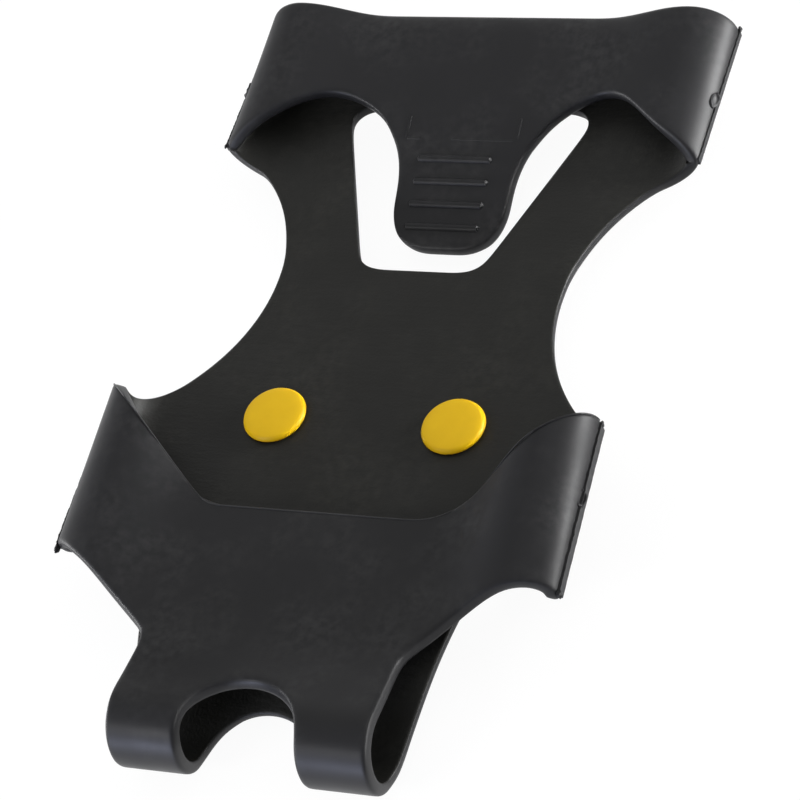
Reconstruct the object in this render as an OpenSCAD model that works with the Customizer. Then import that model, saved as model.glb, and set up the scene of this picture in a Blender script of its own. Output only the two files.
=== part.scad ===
// Slip-on ice cleat for the front of a shoe.
// One moulded rubber sheet forms a sole with a window, a toe cap with two toe loops, and a heel strap with a
// pull tab. Plastic stud caps on the inner face hold steel studs with hard tips through the sole.
// The origin is the tip of the middle front stud. +X is the wearer's right, +Y runs to the heel, +Z is up.

/* [Rubber sheet] */
// Thickness of the moulded rubber
sheet_t = 2.6; // [2.2:0.1:3.2]
// Width over which the sheet turns back at each side
fold_w = 10; // [8:0.5:11]

/* [Sole] */
// Half the width over the toe folds
toe_half_w = 54.2; // [51:0.2:56]
// Half the width over the heel folds
heel_half_w = 55.4; // [52:0.2:58]
// Front end of the toe fold's crease
toe_fold_front_y = -5.6; // [-9:0.2:-3]
// Rear end of the toe fold's crease
toe_fold_rear_y = 32; // [28:0.5:36]
// Front end of the heel fold's crease
heel_fold_front_y = 102; // [99:0.5:106]
// Rear edge of the sole and of the heel strap
heel_rear_y = 136.5; // [132:0.5:142]
// Half the width of the sole at its waist
waist_half = 31.9; // [30:0.1:33]
// Radius of the hollow at each side of the waist
waist_r = 38; // [35:0.5:42]
// Narrowest place of the waist
waist_y = 68.5; // [67:0.5:70]

/* [Window] */
// Front edge of the window in the sole
window_front_y = 72.6; // [70:0.2:75]
// Half the window's width at its front edge
window_front_half = 14.6; // [14:0.2:17]
// Rear edge of the window
window_rear_y = 117.5; // [114:0.5:121]
// Half the window's width at its rear edge
window_rear_half = 29; // [26:0.5:31]
// Radius of the window's front corners
window_front_r = 6; // [3:0.5:8]
// Radius of the window's rear corners
window_rear_r = 5; // [3:0.5:7]

/* [Toe] */
// Outer edge of a toe loop, from the middle
leg_outer_x = 27.8; // [26:0.2:30]
// Place where a toe loop leaves the toe cap's slanting front edge
leg_root_y = -23; // [-25:0.5:-20]
// Place where a toe loop leaves the sole's slanting front edge
sole_root_y = -14.5; // [-18:0.5:-13]
// Outer edge of a toe loop there, where it has widened into the sole
sole_root_x = 32.4; // [30:0.2:34]
// Radius of the inner corners there
leg_root_r = 5; // [2:0.5:6]
// Radius of the notch between the toe loops
notch_r = 12.5; // [10:0.5:14]
// Centre of the notch's round end
notch_y = -46; // [-48:0.5:-44]
// Outer radius of a toe loop's bend
loop_r = 8.8; // [8:0.1:9.6]
// Centre of the bend
loop_y = -42; // [-45:0.5:-40]
// Height of that centre above the sole's inner face
loop_z = 1; // [0.4:0.1:2]
// Slope of the sole down to the toe loops, in degrees
sole_droop = 11; // [9:0.5:13]
// Slope of the toe cap up to the toe loops, in degrees
cap_rise = 17; // [14:0.5:20]
// Rear edge of the toe cap
cap_rear_y = 7.5; // [4:0.5:11]
// Half the width of the toe cap's flat middle
cap_flat_half = 25; // [22:0.5:28]
// Radius of the corners of the toe cap's rear edge
cap_corner_r = 8; // [4:0.5:12]
// Height of the flat middle's outer face above the sole's inner face
cap_z = 5; // [4.8:0.1:6.5]
// Height of the toe fold's crest at its front end
toe_crest_front = 9.9; // [8:0.1:12]
// Height of the toe fold's crest at its rear end
toe_crest_rear = 16.4; // [13:0.1:18]

/* [Heel] */
// Height of the strap's middle level with the crease's front end
strap_front_z = 4; // [3.6:0.1:5]
// Height of the strap's middle at its rear edge
strap_rear_z = 8; // [7:0.1:10]
// Half the width of the strap's flat middle
strap_flat_half = 25; // [22:0.5:28]
// Height of the heel fold's crest at its front end
heel_crest_front = 7.2; // [6.6:0.1:9]
// Height of the heel fold's crest at its rear end
heel_crest_rear = 12; // [10:0.1:14]
// Distance of the strap's shoulder from the middle
shoulder_x = 30; // [28:0.5:32]
// Place of the shoulder along the part
shoulder_y = 120.5; // [119:0.5:123]
// Radius of the shoulder
shoulder_r = 9; // [6:0.5:10]

/* [Pull tab] */
// Line where the tab bends off the strap
tab_root_y = 110; // [109.5:0.5:112]
// Half the tab's width
tab_half = 13.2; // [12.5:0.1:14.4]
// Place where the tab's sides start to widen, before rounding
flare_y = 104.4; // [101:0.2:106]
// Radius of the widening
flare_r = 26; // [16:1:28]
// Length of the tab from its bend to its free end
tab_len = 30.3; // [28:0.1:32]
// Radius of the tab's free corners
tab_corner_r = 9.5; // [5:0.5:11]
// Slope of the tab down to its free end, in degrees
tab_droop = 18; // [12:0.5:20]
// Number of grip ribs
rib_count = 4; // [2:1:5]
// Length of a grip rib
rib_l = 17; // [12:0.5:19]
// Width of a grip rib
rib_w = 1.2; // [0.8:0.1:1.8]
// Height of a grip rib
rib_h = 0.5; // [0.3:0.1:1]
// Distance of the first rib from the bend
rib_first = 9.8; // [7:0.2:10]
// Distance from one rib to the next
rib_pitch = 5; // [3.5:0.1:5]

/* [Studs] */
// Distance of a rear stud from the middle
rear_stud_x = 20; // [18:0.5:22]
// Place of the rear pair of studs
rear_stud_y = 33; // [30:0.5:40]
// Distance of an outer front stud from the middle
front_stud_x = 30; // [26:0.5:32]
// Diameter of a stud cap's head
head_d = 13.7; // [12:0.1:15]
// Thickness of a stud cap's head
head_t = 1.8; // [1.4:0.1:2]
// Rounding of the head's rim
head_round = 0.7; // [0.3:0.1:1]
// Diameter of the cap's shank through the sole
shank_d = 6; // [5:0.1:7]
// Gap around the shank in its hole, on the radius
shank_gap = 0.1; // [0.05:0.05:0.2]
// Diameter of the stud's spigot in the shank
spigot_d = 3.2; // [2.6:0.1:3.8]
// Gap around the spigot, on the radius
spigot_gap = 0.03; // [0.02:0.01:0.1]
// How far the spigot goes up into the cap's head
spigot_top = 0.6; // [0.2:0.1:0.8]
// How far a stud stands below the sole
stud_drop = 7; // [6.4:0.1:9]
// Diameter of the stud's flange
flange_d = 11; // [9:0.2:13]
// Thickness of the stud's flange
flange_t = 1.4; // [1:0.1:2]
// Diameter of the stud's cone under the flange
cone_d = 8; // [6.5:0.1:9]
// Diameter of the cone at its foot
foot_d = 5; // [4.2:0.1:6]
// Diameter of the hard tip
tip_d = 3; // [2:0.1:3.6]
// How far the tip stands out of the stud
tip_out = 1.2; // [0.8:0.1:2]
// How deep the tip sits in the stud
tip_seat = 2; // [1:0.1:2.5]
// Gap around the tip in its seat, on the radius
tip_gap = 0.02; // [0.01:0.01:0.05]

/* [Hidden] */
$fn = 64;
// Steps in a rounded corner, in a quarter of a fold, in the slope beside a fold and in the waist's hollow
arc_steps = 8;
fold_steps = 10;
slope_steps = 10;
waist_steps = 20;
// Cutting blocks reach this far past the part
far = 400;
// Overlap that fuses two solids of one node
weld = 0.8;
// Trimming outlines reach this far past the edges that the sheet has by itself
past = 5;

rubber = "#2e2e30";
cap_plastic = "#d6b226";
stud_steel = "#b4b6b8";
tip_carbide = "#6f7276";

// Heights of the sole above the ground
sole_z = stud_drop;
inner_z = stud_drop + sheet_t;

// The flat sole ends where the folds start
toe_fold_x = toe_half_w - fold_w;
heel_fold_x = heel_half_w - fold_w;

// The waist hollow runs from one fold to the other
waist_x = waist_half + waist_r;
waist_toe_a = acos((waist_x - toe_fold_x) / waist_r);
waist_heel_a = acos((waist_x - heel_fold_x) / waist_r);
waist_start_y = waist_y - waist_r * sin(waist_toe_a);
waist_end_y = waist_y + waist_r * sin(waist_heel_a);

// Ends of a toe loop's bend, on its outer face, and the lines where the sole and the cap start to slope to it
loop_low_y = loop_y + loop_r * sin(sole_droop);
loop_low_z = loop_z - loop_r * cos(sole_droop);
loop_top_y = loop_y + loop_r * sin(cap_rise);
loop_top_z = loop_z + loop_r * cos(cap_rise);
sole_bend_y = loop_low_y + (-sheet_t - loop_low_z) / tan(sole_droop);
cap_bend_y = loop_top_y + (loop_top_z - cap_z) / tan(cap_rise);
cap_leg = (cap_bend_y - loop_top_y) / cos(cap_rise);

// Height of the strap's middle at the tab's bend
strap_slope = (strap_rear_z - strap_front_z) / (heel_rear_y - heel_fold_front_y);
tab_root_z = strap_front_z + strap_slope * (tab_root_y - heel_fold_front_y);

studs = [
    ["front_middle", [0, 0]],
    ["front_left", [-front_stud_x, 0]],
    ["front_right", [front_stud_x, 0]],
    ["rear_left", [-rear_stud_x, rear_stud_y]],
    ["rear_right", [rear_stud_x, rear_stud_y]]
];
SHEET_NODES = ["sole_plate", "toe_side_left", "toe_side_right", "heel_side_left", "heel_side_right",
    "toe_loop_left", "toe_loop_right", "toe_cap", "heel_strap", "pull_tab"];

// Outlines: a list of corners [x, y, radius], where a corner without a radius stays sharp

function flat(p) = [p[0], p[1]];
function unit(v) = v / norm(v);
function turned(list) = [for (i = [len(list) - 1:-1:0]) list[i]];
function mirrored(points) = [for (p = turned(points)) concat([-p[0]], [for (i = [1:len(p) - 1]) p[i]])];
function both_sides(points) = concat(points, mirrored(points));

function corner_arc(before, at, after) =
    let (
        tip = flat(at),
        r = at[2],
        u = unit(flat(before) - tip),
        v = unit(flat(after) - tip),
        half = acos(u * v) / 2,
        centre = tip + unit(u + v) * r / sin(half),
        first = tip + u * r / tan(half) - centre,
        last = tip + v * r / tan(half) - centre,
        start = atan2(first[1], first[0]),
        sweep = (atan2(last[1], last[0]) - start + 540) % 360 - 180
    )
    [for (i = [0:arc_steps]) centre + r * [cos(start + sweep * i / arc_steps), sin(start + sweep * i / arc_steps)]];

function rounded(points) =
    let (n = len(points))
    [for (i = [0:n - 1])
        each len(points[i]) < 3
            ? [points[i]]
            : corner_arc(points[(i + n - 1) % n], points[i], points[(i + 1) % n])];

function line_y(a, b, x) = a[1] + (x - a[0]) * (b[1] - a[1]) / (b[0] - a[0]);

// Ends of the creases, and the straight edges that run out to them
toe_crease_front = [toe_half_w, toe_fold_front_y];
toe_crease_rear = [toe_half_w, toe_fold_rear_y];
heel_crease_front = [heel_half_w, heel_fold_front_y];
function toe_front_edge(x) = line_y([leg_outer_x, leg_root_y], toe_crease_front, x);
function toe_under_edge(x) = 2 * toe_fold_front_y - toe_front_edge(x);
function cap_rear_edge(x) = line_y([cap_flat_half, cap_rear_y], toe_crease_rear, x);
function toe_rear_edge(x) = line_y([toe_fold_x, waist_start_y], toe_crease_rear, x);
function heel_front_edge(x) = line_y([heel_fold_x, waist_end_y], heel_crease_front, x);
function strap_front_edge(x) = line_y([shoulder_x, shoulder_y], heel_crease_front, x);
toe_past_x = toe_half_w + past;
heel_past_x = heel_half_w + past;

waist = [for (i = [0:waist_steps])
    let (a = 180 + waist_toe_a - (waist_toe_a + waist_heel_a) * i / waist_steps)
    [waist_x + waist_r * cos(a), waist_y + waist_r * sin(a)]];

sole_outline = rounded(both_sides(concat(
    [
        [leg_outer_x, loop_y - loop_r],
        [leg_outer_x, loop_low_y],
        [sole_root_x, sole_root_y, leg_root_r],
        [toe_fold_x, toe_under_edge(toe_fold_x)]
    ],
    waist,
    [[heel_fold_x, heel_rear_y + past]]
)));

// The sole from the side, as points [y, z]: flat, then down to the start of the toe loops' bend
sole_profile = [
    [heel_rear_y, sole_z],
    [heel_rear_y, inner_z],
    [sole_bend_y - sheet_t * tan(sole_droop / 2), inner_z],
    [loop_low_y - sheet_t * sin(sole_droop), inner_z + loop_low_z + sheet_t * cos(sole_droop)],
    [loop_low_y, inner_z + loop_low_z],
    [sole_bend_y, sole_z]
];

window_outline = rounded(both_sides([
    [window_front_half, window_front_y, window_front_r],
    [window_rear_half, window_rear_y, window_rear_r]
]));

cap_outline = rounded(both_sides([
    [leg_outer_x, cap_bend_y - cap_leg],
    [leg_outer_x, leg_root_y, leg_root_r],
    [toe_past_x, toe_front_edge(toe_past_x)],
    [toe_past_x, cap_rear_edge(toe_past_x)],
    [cap_flat_half, cap_rear_y, cap_corner_r]
]));

strap_outline = rounded(both_sides([
    [heel_past_x, heel_rear_y + past],
    [heel_past_x, strap_front_edge(heel_past_x)],
    [shoulder_x, shoulder_y, shoulder_r],
    [tab_half, flare_y, flare_r],
    [tab_half, tab_root_y - tab_len, tab_corner_r]
]));

toe_side_outline = [
    [toe_fold_x - past, toe_under_edge(toe_fold_x - past)],
    [toe_past_x, toe_under_edge(toe_past_x)],
    [toe_past_x, toe_rear_edge(toe_past_x)],
    [toe_fold_x - past, toe_rear_edge(toe_fold_x - past)]
];

heel_side_outline = [
    [heel_fold_x - past, heel_front_edge(heel_fold_x - past)],
    [heel_past_x, heel_front_edge(heel_past_x)],
    [heel_past_x, heel_rear_y + past],
    [heel_fold_x - past, heel_rear_y + past]
];

// Cross-sections across the part, as points [x, z] with z from the sole's inner face. A fold is half an ellipse
// whose crease is at half its height. inset goes from the outer face of the sheet to its inner face.

function crease_z(crest) = (crest - sheet_t) / 2;
function fold_arc(fold_x, crest, inset, side) =
    [for (i = [0:fold_steps])
        let (a = 90 * i / fold_steps)
        [
            fold_x + (fold_w - inset) * cos(a),
            crease_z(crest) + side * ((crest + sheet_t) / 2 - inset) * sin(a)
        ]];

function slope_line(fold_x, crest, middle_z, flat_half, inset) =
    [for (i = [1:slope_steps])
        let (
            u = 180 * i / slope_steps,
            run = fold_x - flat_half,
            rise = (crest - middle_z) / 2,
            lean = rise * sin(u) * PI / run,
            normal = unit([-lean, 1])
        )
        [fold_x - run * i / slope_steps, middle_z + rise * (1 + cos(u))] - inset * normal];

function upper_half(fold_x, crest, middle_z, flat_half, inset) =
    concat(fold_arc(fold_x, crest, inset, 1), slope_line(fold_x, crest, middle_z, flat_half, inset));

// A section is a pair of lines, the outer face and the inner face of the sheet
function upper_section(fold_x, crest, middle_z, flat_half) =
    [for (inset = [0, sheet_t]) both_sides(upper_half(fold_x, crest, middle_z, flat_half, inset))];

function lower_section(fold_x, crest) =
    [for (inset = [0, sheet_t]) turned(fold_arc(fold_x, crest, inset, -1))];

// A straight-sided solid from one cross-section to another
module ruled(section_a, y_a, section_b, y_b) {
    n = len(section_a[0]);
    last = n - 1;
    outer_a = 0;
    inner_a = n;
    outer_b = 2 * n;
    inner_b = 3 * n;
    points = concat(
        [for (line = section_a, p = line) [p[0], y_a, inner_z + p[1]]],
        [for (line = section_b, p = line) [p[0], y_b, inner_z + p[1]]]
    );
    steps = [for (i = [0:last - 1]) each [
        [outer_a + i, inner_a + i, inner_a + i + 1, outer_a + i + 1],
        [outer_b + i, outer_b + i + 1, inner_b + i + 1, inner_b + i],
        [outer_a + i, outer_a + i + 1, outer_b + i + 1],
        [outer_a + i, outer_b + i + 1, outer_b + i],
        [inner_a + i, inner_b + i + 1, inner_a + i + 1],
        [inner_a + i, inner_b + i, inner_b + i + 1]
    ]];
    ends = [
        [outer_a, outer_b, inner_b, inner_a],
        [outer_b + last, outer_a + last, inner_a + last, inner_b + last]
    ];
    polyhedron(points, concat(steps, ends));
}

// A height that goes from one value at the front of a crease to another at its rear, at any place along the part
function toe_crest(y) =
    toe_crest_front
    + (toe_crest_rear - toe_crest_front) * (y - toe_fold_front_y) / (toe_fold_rear_y - toe_fold_front_y);
function heel_crest(y) =
    heel_crest_front
    + (heel_crest_rear - heel_crest_front) * (y - heel_fold_front_y) / (heel_rear_y - heel_fold_front_y);
function strap_z(y) = strap_front_z + strap_slope * (y - heel_fold_front_y);

module prism(outline) {
    translate([0, 0, -far / 2]) linear_extrude(far) polygon(outline);
}

module behind(y) {
    translate([-far / 2, y, -far / 2]) cube(far);
}

module notch() {
    translate([0, 0, -far / 2]) linear_extrude(far) {
        translate([0, notch_y]) circle(notch_r);
        translate([-notch_r, notch_y - far]) square([2 * notch_r, far]);
    }
}

module stud_holes() {
    for (stud = studs)
        translate([stud[1][0], stud[1][1], 0]) cylinder(h = far, d = shank_d + 2 * shank_gap, center = true);
}

// Rubber pieces

module sole_plate() {
    color(rubber) difference() {
        intersection() {
            translate([-far / 2, 0, 0]) rotate([90, 0, 90]) linear_extrude(far) polygon(sole_profile);
            prism(sole_outline);
        }
        prism(window_outline);
        notch();
        stud_holes();
    }
}

module toe_side_right() {
    y_a = toe_under_edge(toe_past_x) - past;
    y_b = waist_start_y + past;
    color(rubber) intersection() {
        ruled(lower_section(toe_fold_x, toe_crest(y_a)), y_a, lower_section(toe_fold_x, toe_crest(y_b)), y_b);
        prism(toe_side_outline);
    }
}

module toe_side_left() {
    mirror([1, 0, 0]) toe_side_right();
}

module heel_side_right() {
    y_a = waist_end_y - past;
    y_b = heel_rear_y;
    color(rubber) intersection() {
        ruled(lower_section(heel_fold_x, heel_crest(y_a)), y_a, lower_section(heel_fold_x, heel_crest(y_b)), y_b);
        prism(heel_side_outline);
    }
}

module heel_side_left() {
    mirror([1, 0, 0]) heel_side_right();
}

module toe_loop_right() {
    start = 90 - cap_rise;
    sweep = 180 + sole_droop + cap_rise;
    color(rubber) difference() {
        translate([0, loop_y, inner_z + loop_z])
            rotate([90, 0, 90])
                rotate([0, 0, start])
                    rotate_extrude(angle = sweep)
                        translate([loop_r - sheet_t, notch_r / 2]) square([sheet_t, leg_outer_x - notch_r / 2]);
        notch();
    }
}

module toe_loop_left() {
    mirror([1, 0, 0]) toe_loop_right();
}

module toe_cap() {
    y_a = cap_bend_y;
    y_b = toe_fold_rear_y + past;
    color(rubber) difference() {
        union() {
            intersection() {
                ruled(
                    upper_section(toe_fold_x, toe_crest(y_a), cap_z, cap_flat_half), y_a,
                    upper_section(toe_fold_x, toe_crest(y_b), cap_z, cap_flat_half), y_b
                );
                prism(cap_outline);
            }
            translate([0, cap_bend_y, inner_z + cap_z]) rotate([-cap_rise, 0, 0]) difference() {
                translate([0, -cap_bend_y, -sheet_t]) linear_extrude(sheet_t) polygon(cap_outline);
                behind(weld);
            }
        }
        notch();
    }
}

module heel_strap() {
    y_a = heel_fold_front_y - past;
    y_b = heel_rear_y;
    color(rubber) difference() {
        intersection() {
            ruled(
                upper_section(heel_fold_x, heel_crest(y_a), strap_z(y_a), strap_flat_half), y_a,
                upper_section(heel_fold_x, heel_crest(y_b), strap_z(y_b), strap_flat_half), y_b
            );
            prism(strap_outline);
        }
        translate([-shoulder_x, tab_root_y - far, 0]) cube([2 * shoulder_x, far, far]);
    }
}

module rib() {
    linear_extrude(rib_h) {
        square([rib_l - rib_w, rib_w], center = true);
        for (side = [-1, 1]) translate([side * (rib_l - rib_w) / 2, 0]) circle(d = rib_w);
    }
}

module pull_tab() {
    color(rubber) difference() {
        translate([0, tab_root_y, inner_z + tab_root_z]) rotate([tab_droop, 0, 0]) {
            intersection() {
                translate([0, -tab_root_y, -sheet_t]) linear_extrude(sheet_t) polygon(strap_outline);
                translate([-shoulder_x, weld - far, -far / 2]) cube([2 * shoulder_x, far, far]);
            }
            for (i = [0:rib_count - 1]) translate([0, -rib_first - i * rib_pitch, 0]) rib();
        }
        behind(tab_root_y);
    }
}

// Stud pieces

module stud_cap(place) {
    r = head_d / 2;
    rim = rounded([[0, 0], [r, 0, head_round], [r, head_t, head_round], [0, head_t]]);
    color(cap_plastic) translate([place[0], place[1], inner_z]) difference() {
        union() {
            rotate_extrude() polygon(rim);
            translate([0, 0, -sheet_t]) cylinder(h = sheet_t, d = shank_d);
        }
        translate([0, 0, -sheet_t]) cylinder(h = sheet_t + spigot_top, d = spigot_d + 2 * spigot_gap);
    }
}

module stud(place) {
    cone_h = stud_drop - flange_t - tip_out;
    color(stud_steel) translate([place[0], place[1], 0]) difference() {
        union() {
            translate([0, 0, stud_drop - flange_t]) cylinder(h = flange_t, d = flange_d);
            translate([0, 0, tip_out]) cylinder(h = cone_h, d1 = foot_d, d2 = cone_d);
            translate([0, 0, stud_drop]) cylinder(h = sheet_t + spigot_top, d = spigot_d);
        }
        cylinder(h = tip_out + tip_seat, d = tip_d + 2 * tip_gap);
    }
}

module stud_tip(place) {
    color(tip_carbide) translate([place[0], place[1], 0]) cylinder(h = tip_out + tip_seat, d = tip_d);
}

sole_plate();
toe_side_left();
toe_side_right();
heel_side_left();
heel_side_right();
toe_loop_left();
toe_loop_right();
toe_cap();
heel_strap();
pull_tab();
for (item = studs) {
    stud_cap(item[1]);
    stud(item[1]);
    stud_tip(item[1]);
}
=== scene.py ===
# %% [markdown]
# # A slip-on ice cleat
#
# A rubber overshoe for ice: one moulded sheet of black rubber that is stretched over the front of a shoe.
# A wide band covers the toes, a narrower strap with a pull tab lies behind it, and five studs with yellow
# heads are pressed through the sole. The real rubber leaves a two-part mould in a single piece, so here
# it is modelled as one continuous sheet too, and only cut apart at the end along the lines where it has
# to flex.

# %% Open the shared frame
import math

import bpy
from mathutils import Matrix, Vector, noise


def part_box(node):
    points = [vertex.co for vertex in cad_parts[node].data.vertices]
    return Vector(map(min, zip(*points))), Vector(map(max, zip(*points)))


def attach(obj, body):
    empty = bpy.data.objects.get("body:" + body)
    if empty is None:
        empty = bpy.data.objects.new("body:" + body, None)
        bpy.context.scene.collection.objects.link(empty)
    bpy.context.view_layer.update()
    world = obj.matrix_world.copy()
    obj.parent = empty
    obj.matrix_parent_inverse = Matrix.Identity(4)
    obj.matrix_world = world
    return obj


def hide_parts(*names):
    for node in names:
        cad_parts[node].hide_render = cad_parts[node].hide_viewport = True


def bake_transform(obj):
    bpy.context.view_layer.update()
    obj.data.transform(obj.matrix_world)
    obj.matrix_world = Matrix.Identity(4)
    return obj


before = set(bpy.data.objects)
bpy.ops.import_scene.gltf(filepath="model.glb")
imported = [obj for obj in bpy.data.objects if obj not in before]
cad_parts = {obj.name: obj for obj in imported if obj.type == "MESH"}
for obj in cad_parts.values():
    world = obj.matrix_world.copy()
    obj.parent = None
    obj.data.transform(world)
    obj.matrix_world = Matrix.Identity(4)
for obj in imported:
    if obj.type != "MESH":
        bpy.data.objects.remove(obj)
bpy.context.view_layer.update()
MM = 0.001

# %% [markdown]
# ## Measures
#
# Most sizes are read off the CAD pieces, so that the rubber follows them if they change. The others are
# named, in millimetres, in the cell that first needs them. Heights are counted from the sole's inner
# face, on which the shoe stands. The two sides of a real moulding differ a little, so some values come as
# a left and a right.

# %% Read sizes off the CAD pieces


def box_mm(node):
    low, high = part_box(node)
    return low / MM, high / MM


toe_low, toe_high = box_mm("toe_side_right")
heel_low, heel_high = box_mm("heel_side_right")
bend_low, bend_high = box_mm("toe_loop_right")
cap_high = box_mm("toe_cap")[1]
strap_low = box_mm("heel_strap")[0]
inner_z = box_mm("sole_plate")[1].z
sheet_t = inner_z - box_mm("stud_cap_rear_left")[0].z
leg_outer_x = bend_high.x
loop_r = (bend_high.z - bend_low.z) / 2
loop_y = bend_low.y + loop_r
loop_z = bend_low.z + loop_r - inner_z
print("sheet", round(sheet_t, 2), "loop", round(loop_r, 2), round(loop_y, 2), round(loop_z, 2))

# %% Name what the whole sheet shares
LEFT = -1
RIGHT = 1
# The row next to an edge lies this far inside it: the nearer it is, the crisper the edge is rounded
edge_soft = 1.8
edge_crisp = 0.9
bend_soft = 2.0
# The two legs lean a little to the right
lean_start_y = -24.0
lean = 0.075
# The heel folds are a little narrower than the CAD pieces and reach a little further back
heel_inset = 0.6
heel_overrun = 0.4
# Each side of the waist is one arc
waist_half = 32.4
waist_r = 40.5
waist_y = 67.7

toe_fold_x = toe_low.x
toe_half_w = toe_high.x
heel_fold_x = heel_low.x
heel_half_w = heel_high.x - heel_inset
heel_rear_y = heel_high.y + heel_overrun
waist_x = waist_half + waist_r
waist_start_y = waist_y - math.sqrt(waist_r ** 2 - (waist_x - toe_fold_x) ** 2)
waist_end_y = waist_y + math.sqrt(waist_r ** 2 - (waist_x - heel_fold_x) ** 2)
print("toe fold", round(toe_fold_x, 1), round(toe_half_w, 1))
print("heel fold", round(heel_fold_x, 1), round(heel_half_w, 1))

# %% [markdown]
# ## Small helpers
#
# A patch of the sheet starts as a flat grid primitive. Each of its points is then moved to its place on
# the rubber, which is what a modeller does by dragging rows of points, only here the place comes from a
# formula. Operators act on what is selected, so one helper selects an object and nothing else.

# %% Helpers for numbers


def lerp(start, end, share):
    return start + (end - start) * share


def steps(start, end, count):
    return [lerp(start, end, index / count) for index in range(count + 1)]


def line_at(first, second, x):
    return lerp(first[1], second[1], (x - first[0]) / (second[0] - first[0]))


def clamp(share):
    return min(1, max(0, share))


def arch(share):
    return 4 * share * (1 - share)


def soft_corner(distance, softness):
    return softness * math.log1p(math.exp(distance / softness))


def between(front, rear, shares, front_edge, rear_edge):
    inside = [lerp(front + front_edge, rear - rear_edge, share) for share in shares]
    return [front] + inside + [rear]


# %% Helpers for objects


def only(obj):
    bpy.ops.object.select_all(action="DESELECT")
    obj.select_set(True)
    bpy.context.view_layer.objects.active = obj


def give_name(obj, name):
    obj.name = name
    obj.data.name = name
    return obj


def apply_modifiers(obj):
    only(obj)
    for modifier in list(obj.modifiers):
        bpy.ops.object.modifier_apply(modifier=modifier.name)


def join(objects, name):
    only(objects[0])
    for obj in objects:
        obj.select_set(True)
    bpy.ops.object.join()
    return give_name(objects[0], name)


# %% Lay a patch
(SOLE, TOE_BAND, TOE_FOLD_L, TOE_FOLD_R, TOE_BEND_L, TOE_BEND_R,
 HEEL_BAND, HEEL_FOLD_L, HEEL_FOLD_R) = range(9)
grid_size = 2
patches = []


def add_patch(rows, part=SOLE):
    along = len(rows) - 1
    across = len(rows[0]) - 1
    bpy.ops.mesh.primitive_grid_add(x_subdivisions=across, y_subdivisions=along, size=grid_size)
    patch = bpy.context.object
    for vertex in patch.data.vertices:
        row = round((vertex.co.y / grid_size + 1 / 2) * along)
        column = round((vertex.co.x / grid_size + 1 / 2) * across)
        x, y, height = rows[row][column]
        x += lean * soft_corner(lean_start_y - y, bend_soft)
        vertex.co = (x * MM, y * MM, (height + inner_z) * MM)
    numbers = patch.data.attributes.new("part", "INT", "FACE")
    for item in numbers.data:
        item.value = part
    return patch


def on_side(rows, side):
    return [[(side * x, y, height) for x, y, height in row] for row in rows]


def turned(columns):
    return [list(row) for row in zip(*columns)]


# %% [markdown]
# ## The toe band and its two folds
#
# Seen from the front, the band is flat in the middle, rises to a crest near each side and then folds down
# and under to become the sole. The fold is half an ellipse. The crest grows from front to rear, because
# the shoe's toe gets higher. Every column of points runs from the front edge to the rear edge. A bent
# cube would need many cuts to follow this shape, so rows of points on a formula are the shorter way.

# %% Edges of the toe band
leg_root_y = -23.3
leg_flare = 0.5
leg_root_x = leg_outer_x + leg_flare
cap_rear_y = 7.5
cap_rear_x = 25.0
toe_seam_front = 1.0
right_lead = 1.2
toe_crease_front = {LEFT: toe_low.y, RIGHT: toe_low.y - right_lead}
toe_crease_rear = cap_high.y
front_hollow = {LEFT: 1.1, RIGHT: 4.2}
rear_corner_soft = {LEFT: 0.9, RIGHT: 1.7}


def toe_front(x, side):
    share = (x - leg_root_x) / (toe_half_w - leg_root_x)
    return lerp(leg_root_y, toe_crease_front[side], share) + front_hollow[side] * arch(share)


def toe_rear(x, side):
    slope = (toe_crease_rear - cap_rear_y) / (toe_half_w - cap_rear_x)
    return cap_rear_y + slope * soft_corner(abs(x) - cap_rear_x, rear_corner_soft[side])


def toe_under_front(x, side):
    return line_at((toe_fold_x, toe_seam_front), (toe_half_w, toe_crease_front[side]), x)


def toe_under_rear(x, side):
    return line_at((toe_fold_x, waist_start_y), (toe_half_w, toe_rear(toe_half_w, side)), x)


print("toe band from", round(toe_front(toe_half_w, LEFT), 1), "to", round(toe_rear(toe_half_w, LEFT), 1))

# %% Heights and width of the toe band
cap_z = 5.0
cap_rise = math.radians(17)
toe_crest_front = 9.9
toe_crest_rear = 16.4
toe_spread = {LEFT: (0.4, -0.5), RIGHT: (0.9, -0.1)}
loop_top_y = loop_y + loop_r * math.sin(cap_rise)


def toe_crest(y):
    return line_at((toe_low.y, toe_crest_front), (toe_crease_rear, toe_crest_rear), y)


def cap_height(y):
    top_z = loop_z + loop_r * math.cos(cap_rise)
    start_y = loop_top_y + (top_z - cap_z) / math.tan(cap_rise)
    return cap_z + math.tan(cap_rise) * soft_corner(start_y - y, bend_soft)


def toe_half(y, side):
    spread = toe_spread[side]
    return toe_half_w + line_at((toe_low.y, spread[0]), (toe_crease_rear, spread[1]), y)


def slope_height(x, flat_half, fold_x, middle, crest):
    share = clamp((fold_x - x) / (fold_x - flat_half))
    return middle + (crest - middle) * (1 + math.cos(math.pi * share)) / 2


print("toe crest from", round(toe_crest(toe_low.y), 1), "to", round(toe_crest(toe_crease_rear), 1), "mm")

# %% Lay the slopes and the folds of the toe band
toe_row_count = 8
toe_shares = steps(0, 1, toe_row_count)
slope_columns = 5
fold_turn = 15
fold_angles = [math.radians(angle) for angle in range(90, -91, -fold_turn)]
ellipse_power = 1.0


def toe_slope_column(x, side):
    column = []
    for y in between(toe_front(x, side), toe_rear(x, side), toe_shares, edge_soft, edge_crisp):
        column.append((x, y, slope_height(x, leg_root_x, toe_fold_x, cap_height(y), toe_crest(y))))
    return column


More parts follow.
